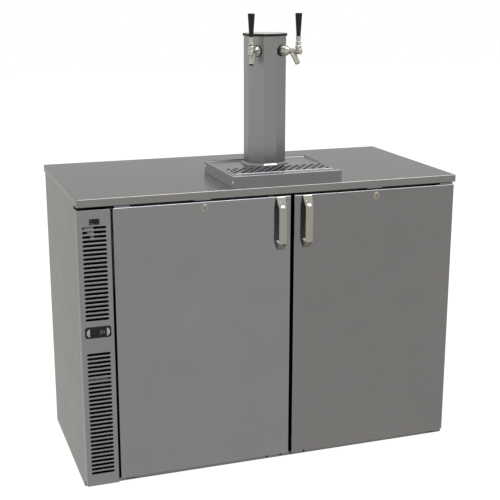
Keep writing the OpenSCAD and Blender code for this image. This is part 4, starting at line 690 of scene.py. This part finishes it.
ledges = [g for x in ((IN_X0, IN_X0 + LEDGE_W), (IN_X1 - LEDGE_W, IN_X1)) for g in bent_sheet(
    [(150, LEDGE_Z), (4.2, LEDGE_Z)], SHEET, *x, "yzx")]
tray = piece("drip_tray_box", [capped(shell), *deck, *ledges], tray_steel, "cabinet",
             ["drip_tray"])
# the end plates have their grain upright, and their steel is painted lighter than the front's: painted
# light
tray.data.materials.append(brushed_stainless("brushed stainless, tray ends, painted lighter", "#b3b1b0", "z", 0.3, 0.03))
middle = part((MID_X, 0, 0))[0]
facing = np.array([f.normal.x * np.sign(f.center.x - middle) for f in tray.data.polygons])
tray.data.polygons.foreach_set("material_index", (facing > 0.7).astype("i4"))
cove = [(0, 952.6), (0.4, 950.9), (1.6, 949.3), (3.2, 948.4), (5.2, 948.05)]
piece("tray_cove", [np.array([[(477 + a, 150.6, z), (477 + a, 290 - a, z), (814 - a, 290 - a, z),
                               (814 - a, 150.6, z)] for a, z in cove])], tray_steel, "cabinet",
      outward=(0, 0, 1))
# painted shade: the floor under the grid is drawn as dark grey steel that still shines a little
shaded_floor_steel = painted("stainless, painted shade under the grid", "#2b2b2e", 0.3, grain=300.0, metallic=1.0)
piece("tray_floor", [capped(around(rectangle(473, 5, 818, 149), [(-4, 916.3), (0, 916.3)], 2, slack=0),
                            last=False)], shaded_floor_steel, "cabinet", outward=(0, 0, 1))
# polished heads: each is a small bright dot
polished = painted("polished stainless screw", "#dcdcdc", 0.15, metallic=1.0, streak=0.01)
rivets = []
t = np.linspace(np.pi / 2, 0, 7)
for x, way in ((TRAY_X0, -1), (TRAY_X1, 1)):
    for y in (7.5, 293):
        dome = np.column_stack([2.0 * np.cos(t), 4.0 * np.sin(t)])
        rivets.append(turned(np.concatenate([[(-0.3, 4.0)], dome]), (x, y, 933.5), (way, 0, 0), 24))
piece("tray_rivets", rivets, polished, "cabinet")


# Lift-off grid. A stainless plate with staggered rows of straight drain slots and folded edges. Its
# front edge is rolled over a wire between two notches for the fingers.

# grain lengthwise, across the slots
grid_steel = brushed_stainless("stainless, drain grid", "#7c7b79", "x", 0.3, 0.04)
STEP_X, STEP_Y, MID_Y = 25.2, 15.3, 92
holes = []
for k in range(-12, 13):
    x0, x1 = MID_X + (k - 0.5) * STEP_X / 2, MID_X + (k + 0.5) * STEP_X / 2
    for j in (-1, 1) if k % 2 else (-2, 0, 2):
        y = MID_Y + j * STEP_Y
        holes.append(laid(slot_rows(cell(x0, y - STEP_Y, x1, y + STEP_Y, 4, 10),
                                    ((x0 + x1) / 2, y), 22.6, 8.8, np.pi / 2, [
            (None, RIM_Z), (0.7, RIM_Z), (0.3, RIM_Z - 0.12), (0, RIM_Z - 0.5), (0, RIM_Z - 1.5),
            (0.4, RIM_Z - 1.5)]), "xyz"))
    for j in (-3, 2) if k % 2 else ():
        y0 = MID_Y + j * STEP_Y
        holes.append(np.array([[(x0, y0, RIM_Z), (x1, y0, RIM_Z)],
                               [(x0, y0 + STEP_Y, RIM_Z), (x1, y0 + STEP_Y, RIM_Z)]]))
field = rectangle(MID_X - 6.25 * STEP_X, MID_Y - 3 * STEP_Y, MID_X + 6.25 * STEP_X, MID_Y + 3 * STEP_Y)
folded = rounded([(-2.5, RIM_Z), (0, RIM_Z), (0, 943.6), (-1.4, 943.6), (-1.4, 951.4)],
                 [0, 1.2, 0.3, 0.3, 0], slack=0.1)
edge = np.concatenate([around(field, [(0, RIM_Z)], 0, slack=0),
                       around(rectangle(478, 37.5, 813, 149.5), folded, 1.2, slack=0)])
lip = bent_sheet(rounded([(38.6, RIM_Z), (30.5, RIM_Z), (30.5, 943.6)], 1.2, slack=0.1), 1.4,
                 485, 806, "yzx")
t = np.linspace(0, np.pi / 2, 6)
wire = np.concatenate([np.column_stack([1.6 - 1.6 * np.cos(t), 1.6 * np.sin(t)]),
                       np.column_stack([319.4 + 1.6 * np.sin(t), 1.6 * np.cos(t)])])
# drawn wire: painted brighter than the sheet as a highlight, and the lamps draw a thin highlight along
# it
wire_steel = painted("stainless wire, painted highlight", "#98989b", 0.28, metallic=1.0)
piece("drip_grid_wire", [turned(wire, (485, 32.1, RIM_Z), (1, 0, 0), 20)], wire_steel, "drip_grid")
piece("drip_grid_plate", holes + [edge, *lip], grid_steel, "drip_grid", ["drip_grid"],
      outward=(0, 0, 1))
dress(galvanised, "hose", "drain_tube")


# Column. Folded brushed stainless with eight faces, welded to a flange that is screwed to the deck, and
# closed by a pale cap in a black moulded rim.

# grain upright; each of the eight faces takes its own tone from the room
column_steel = brushed_stainless("brushed stainless, column", "#898887", "z", 0.3)
COL_Y, COL_D, FOOT_Z, HEAD_Z, CAP_Z = 163.5, 105.06, 951, 1349, 1356.6
HALF, FLAT, CHAMFER = 61.7, 20.7, 28.28
octagon = np.array([(-FLAT, 0), (FLAT, 0), (HALF, CHAMFER), (HALF, COL_D - CHAMFER), (FLAT, COL_D),
                    (-FLAT, COL_D), (-HALF, COL_D - CHAMFER), (-HALF, CHAMFER)]) + (MID_X, COL_Y)
wall = [(-2, FOOT_Z), (0, FOOT_Z), (0, HEAD_Z), (-2, HEAD_Z), (-2, FOOT_Z)]
piece("column_sheet", [around(octagon, wall, 2.4)], column_steel, "cabinet",
      ["tower_column"])
flange = rounded([(-30, FOOT_Z), (10, FOOT_Z), (10, TRAY_DECK_Z), (-30, TRAY_DECK_Z)],
                 [0, 1.0, 0.3, 0], slack=0.2)
weld = rounded([(0, FOOT_Z + 4.4), (5.0, FOOT_Z - 0.6), (5.2, FOOT_Z - 1.6)], 0.4)
piece("column_flange", [capped(around(octagon, flange, 3.0)), around(octagon, weld, 2.4)],
      column_steel, "cabinet", ["tower_flange"])
rim = rounded([(-1, HEAD_Z), (3.5, HEAD_Z), (3.5, HEAD_Z + 8), (0.2, HEAD_Z + 8), (0.2, HEAD_Z + 4),
               (-1, HEAD_Z + 4), (-1, HEAD_Z)], [0, 0.8, 1.9, 0.4, 0, 0, 0], slack=0.1)
piece("column_cap_rim", [around(octagon, rim, 3.0)], black_plastic, "cabinet",
      ["tower_cap_rim"])
# moulded ABS: plain pale grey, nearly matt
cap_grey = painted("pale grey ABS cap", "#98998f", 0.42)
plate = rounded([(-40, CAP_Z), (0.1, CAP_Z), (0.1, HEAD_Z + 1), (-40, HEAD_Z + 1)], [0, 0.6, 0, 0])
piece("column_cap", [capped(around(octagon, plate, 3.0))], cap_grey, "cabinet",
      ["tower_cap"])
screws = []
pan_head = [(0, 3.0), (0.6, 2.9), (1.2, 2.4), (1.6, 1.6), (1.6, 1.1), (0.7, 1.0), (0.7, 0)]
for out_x, y, z in ((HALF + 5, COL_Y + CHAMFER - 3.3, FOOT_Z),
                    (HALF + 5, COL_Y + COL_D - CHAMFER + 3.3, FOOT_Z),
                    (47, COL_Y + COL_D / 2 + 3.5, CAP_Z)):
    screws += [turned(pan_head, (MID_X + s * out_x, y, z), (0, 0, 1), 24) for s in (-1, 1)]
piece("column_screws", screws, nickel, "cabinet", ["tower_screws"])


# Taps. Chromed brass bodies on threaded shanks, each with a collar nut, a cone, a barrel, a slanting
# spout and a bonnet, from which a ball lever rises through a knurled ring into a black phenolic handle.

# a mirror of the white room, with thin dark lines where a tap sees itself
chrome = painted("chromium plate", "#b1afa5", 0.06, metallic=1.0, streak=0.01)
# the inside of a spout, where hardly any light gets
dark_bore = painted("unlit bore", "#0b0b0b", 0.6)
# waxed: black with one long soft highlight
phenolic = painted("black phenolic, turned and waxed", "#171613", 0.35, grain=400.0, gloss=0.2)
TAP_TURN, SPOUT_TILT = np.radians(34.6), np.radians(28)
TAP_Z, LEVER_OUT, SPOUT_BACK, SPOUT_L = 1305.0, 62, 20, 40
for name, side in (("left", -1), ("right", 1)):
    out = np.array([side * np.sin(TAP_TURN), -np.cos(TAP_TURN), 0])
    root = np.array([MID_X + side * (FLAT + HALF) / 2, COL_Y + CHAMFER / 2, TAP_Z])
    up = np.array([0, 0, 1.0])
    washer = rounded([(0, 9), (0, 17.5), (5.5, 17.5), (5.5, 9)], [0, 0.6, 2.4, 0])
    piece(f"{name}_tap_gasket", [turned(washer, root, out)], rubber, "cabinet",
          ["tap_gaskets"] if side < 0 else ())
    body = rounded([(5.5, 0), (5.5, 15.5), (12, 15.5), (12.4, 15.0), (13.2, 15.0), (13.6, 15.5),
                    (19.5, 15.5), (20.3, 13.2), (22, 13), (31.5, 8.3), (58, 8.2), (58, 9.0),
                    (72.5, 9.0), (72.5, 0)],
                   [0, 0.8, 0.1, 0.1, 0.1, 0.1, 1.6, 0.5, 1.2, 4, 0.4, 0.5, 2.2, 0], slack=0.1)
    lever_at = root + LEVER_OUT * out
    neck = lever_at - SPOUT_BACK * out + 3.0 * up
    down = np.sin(SPOUT_TILT) * out - np.cos(SPOUT_TILT) * up
    tip = neck - 5 * up + SPOUT_L * down
    # the spout tapers along its bend, and its lip turns in to the bore: each row is a circle of radius
    # r about the path, P = way + r (cos u A + sin u (T x A)), with A across it and T along it
    way = rounded([neck - 4 * up, neck - 7 * up, tip], [0, 6, 0], k=5, slack=0.2)
    run = np.concatenate([[0], np.cumsum(np.linalg.norm(np.diff(way, axis=0), axis=1))])
    way[-1] -= 0.5 * down
    along = np.concatenate([np.gradient(way, axis=0), np.repeat(down[None], 5, 0)])
    along /= np.linalg.norm(along, axis=1, keepdims=True)
    way = np.concatenate([way, [tip, tip, tip, tip - 0.3 * down, tip - 9 * down]])
    radii = np.concatenate([9.2 - 1.45 * run / run[-1], [7.6, 7.2, 6.8, 6.5, 6.0]])
    u = np.linspace(0, 2 * np.pi, 33)[None, :, None]
    across = np.cross(out, up)
    spout = capped(way[:, None] + radii[:, None, None] * (
        np.cos(u) * across + np.sin(u) * np.cross(along, across)[:, None]))
    boss = turned(rounded([(0, 8), (9, 8), (10, 8.4), (10, 9.5), (13.5, 9.5)],
                          [0, 0.4, 0.3, 0.5, 0], slack=0), lever_at, up)
    t = np.linspace(0, np.arccos(3.9 / 9.5), 9)
    bonnet = turned(np.concatenate([np.column_stack([13 + 9.5 * np.sin(t), 9.5 * np.cos(t)]),
                                    [(21.4, 3.6), (17, 3.5)]]), lever_at, up)
    piece(f"{name}_tap_body", [turned(body, root, out), spout, boss, bonnet], chrome, "cabinet",
          [f"faucet_{name}"] + (["faucet_bonnets"] if side < 0 else []))
    piece(f"{name}_spout_bore", [turned([(-0.7, 6.4), (-8.5, 5.9), (-8.5, 0)], tip, down, 24)],
          dark_bore, "cabinet", outward=tuple(down))
    ball = lever_at + 13 * up
    t = np.linspace(-np.pi / 2, np.arccos(3 / 6.2), 10)
    stem = np.concatenate([np.column_stack([6.2 * np.sin(t), 6.2 * np.cos(t)]), rounded(
        [(6, 3.0), (8.4, 3.0), (8.4, 5.0), (9.6, 9.0), (15, 9.0), (16, 6.2), (18, 5.9), (30.5, 7.9),
         (32.5, 8.1), (32.5, 0)], [0, 0.3, 0.5, 1.0, 1.0, 0.8, 2, 1.0, 0.5, 0], slack=0.1)])
    piece(f"{name}_lever", [turned(stem, ball, up, 96, flute=(24, 0.5, 9.6, 15.0))], chrome,
          f"lever_{name}", [f"lever_{name}"])
    grip = rounded([(32.5, 0), (32.5, 6.4), (36, 6.6), (100.2, 10.8), (102, 8.5), (102, 0)],
                   [0, 0.6, 12, 2.0, 2.0, 0])
    piece(f"{name}_tap_grip", [turned(grip, ball, up)], phenolic, f"lever_{name}",
          [f"tap_handle_{name}"])
dress(chrome, "chrome", "tap_shanks")
# drawn opaque: a pale tube with a soft sheen
hose = painted("clear PVC beer hose", "#cfd0c6", 0.25)
dress(hose, "hose", "beer_lines")


# Machinery. Behind the louvres stand the condenser and its fan, a black hermetic compressor and copper
# pipes; the evaporator hangs inside under the ceiling. They keep their CAD shapes.

# bare thin sheet: a cool grey metal
aluminium = painted("aluminium fins", "#8b8d8f", 0.35, metallic=1.0)
# bright drawn pipe: orange metal with soft highlights
copper = painted("drawn copper pipe", "#b87350", 0.3, metallic=1.0)
# baked enamel: black with a clear sheen
enamel = painted("black enamel", "#151515", 0.3)
dress(aluminium, "coil", "condenser")
dress(copper, "copper", "refrigerant_lines")
dress(enamel, "black_paint", "compressor")
dress(black_plastic, "black_plastic", "condenser_fan_frame", "condenser_fan", "evaporator_fan",
      "power_inlet")
dress(liner, "liner", "evaporator")
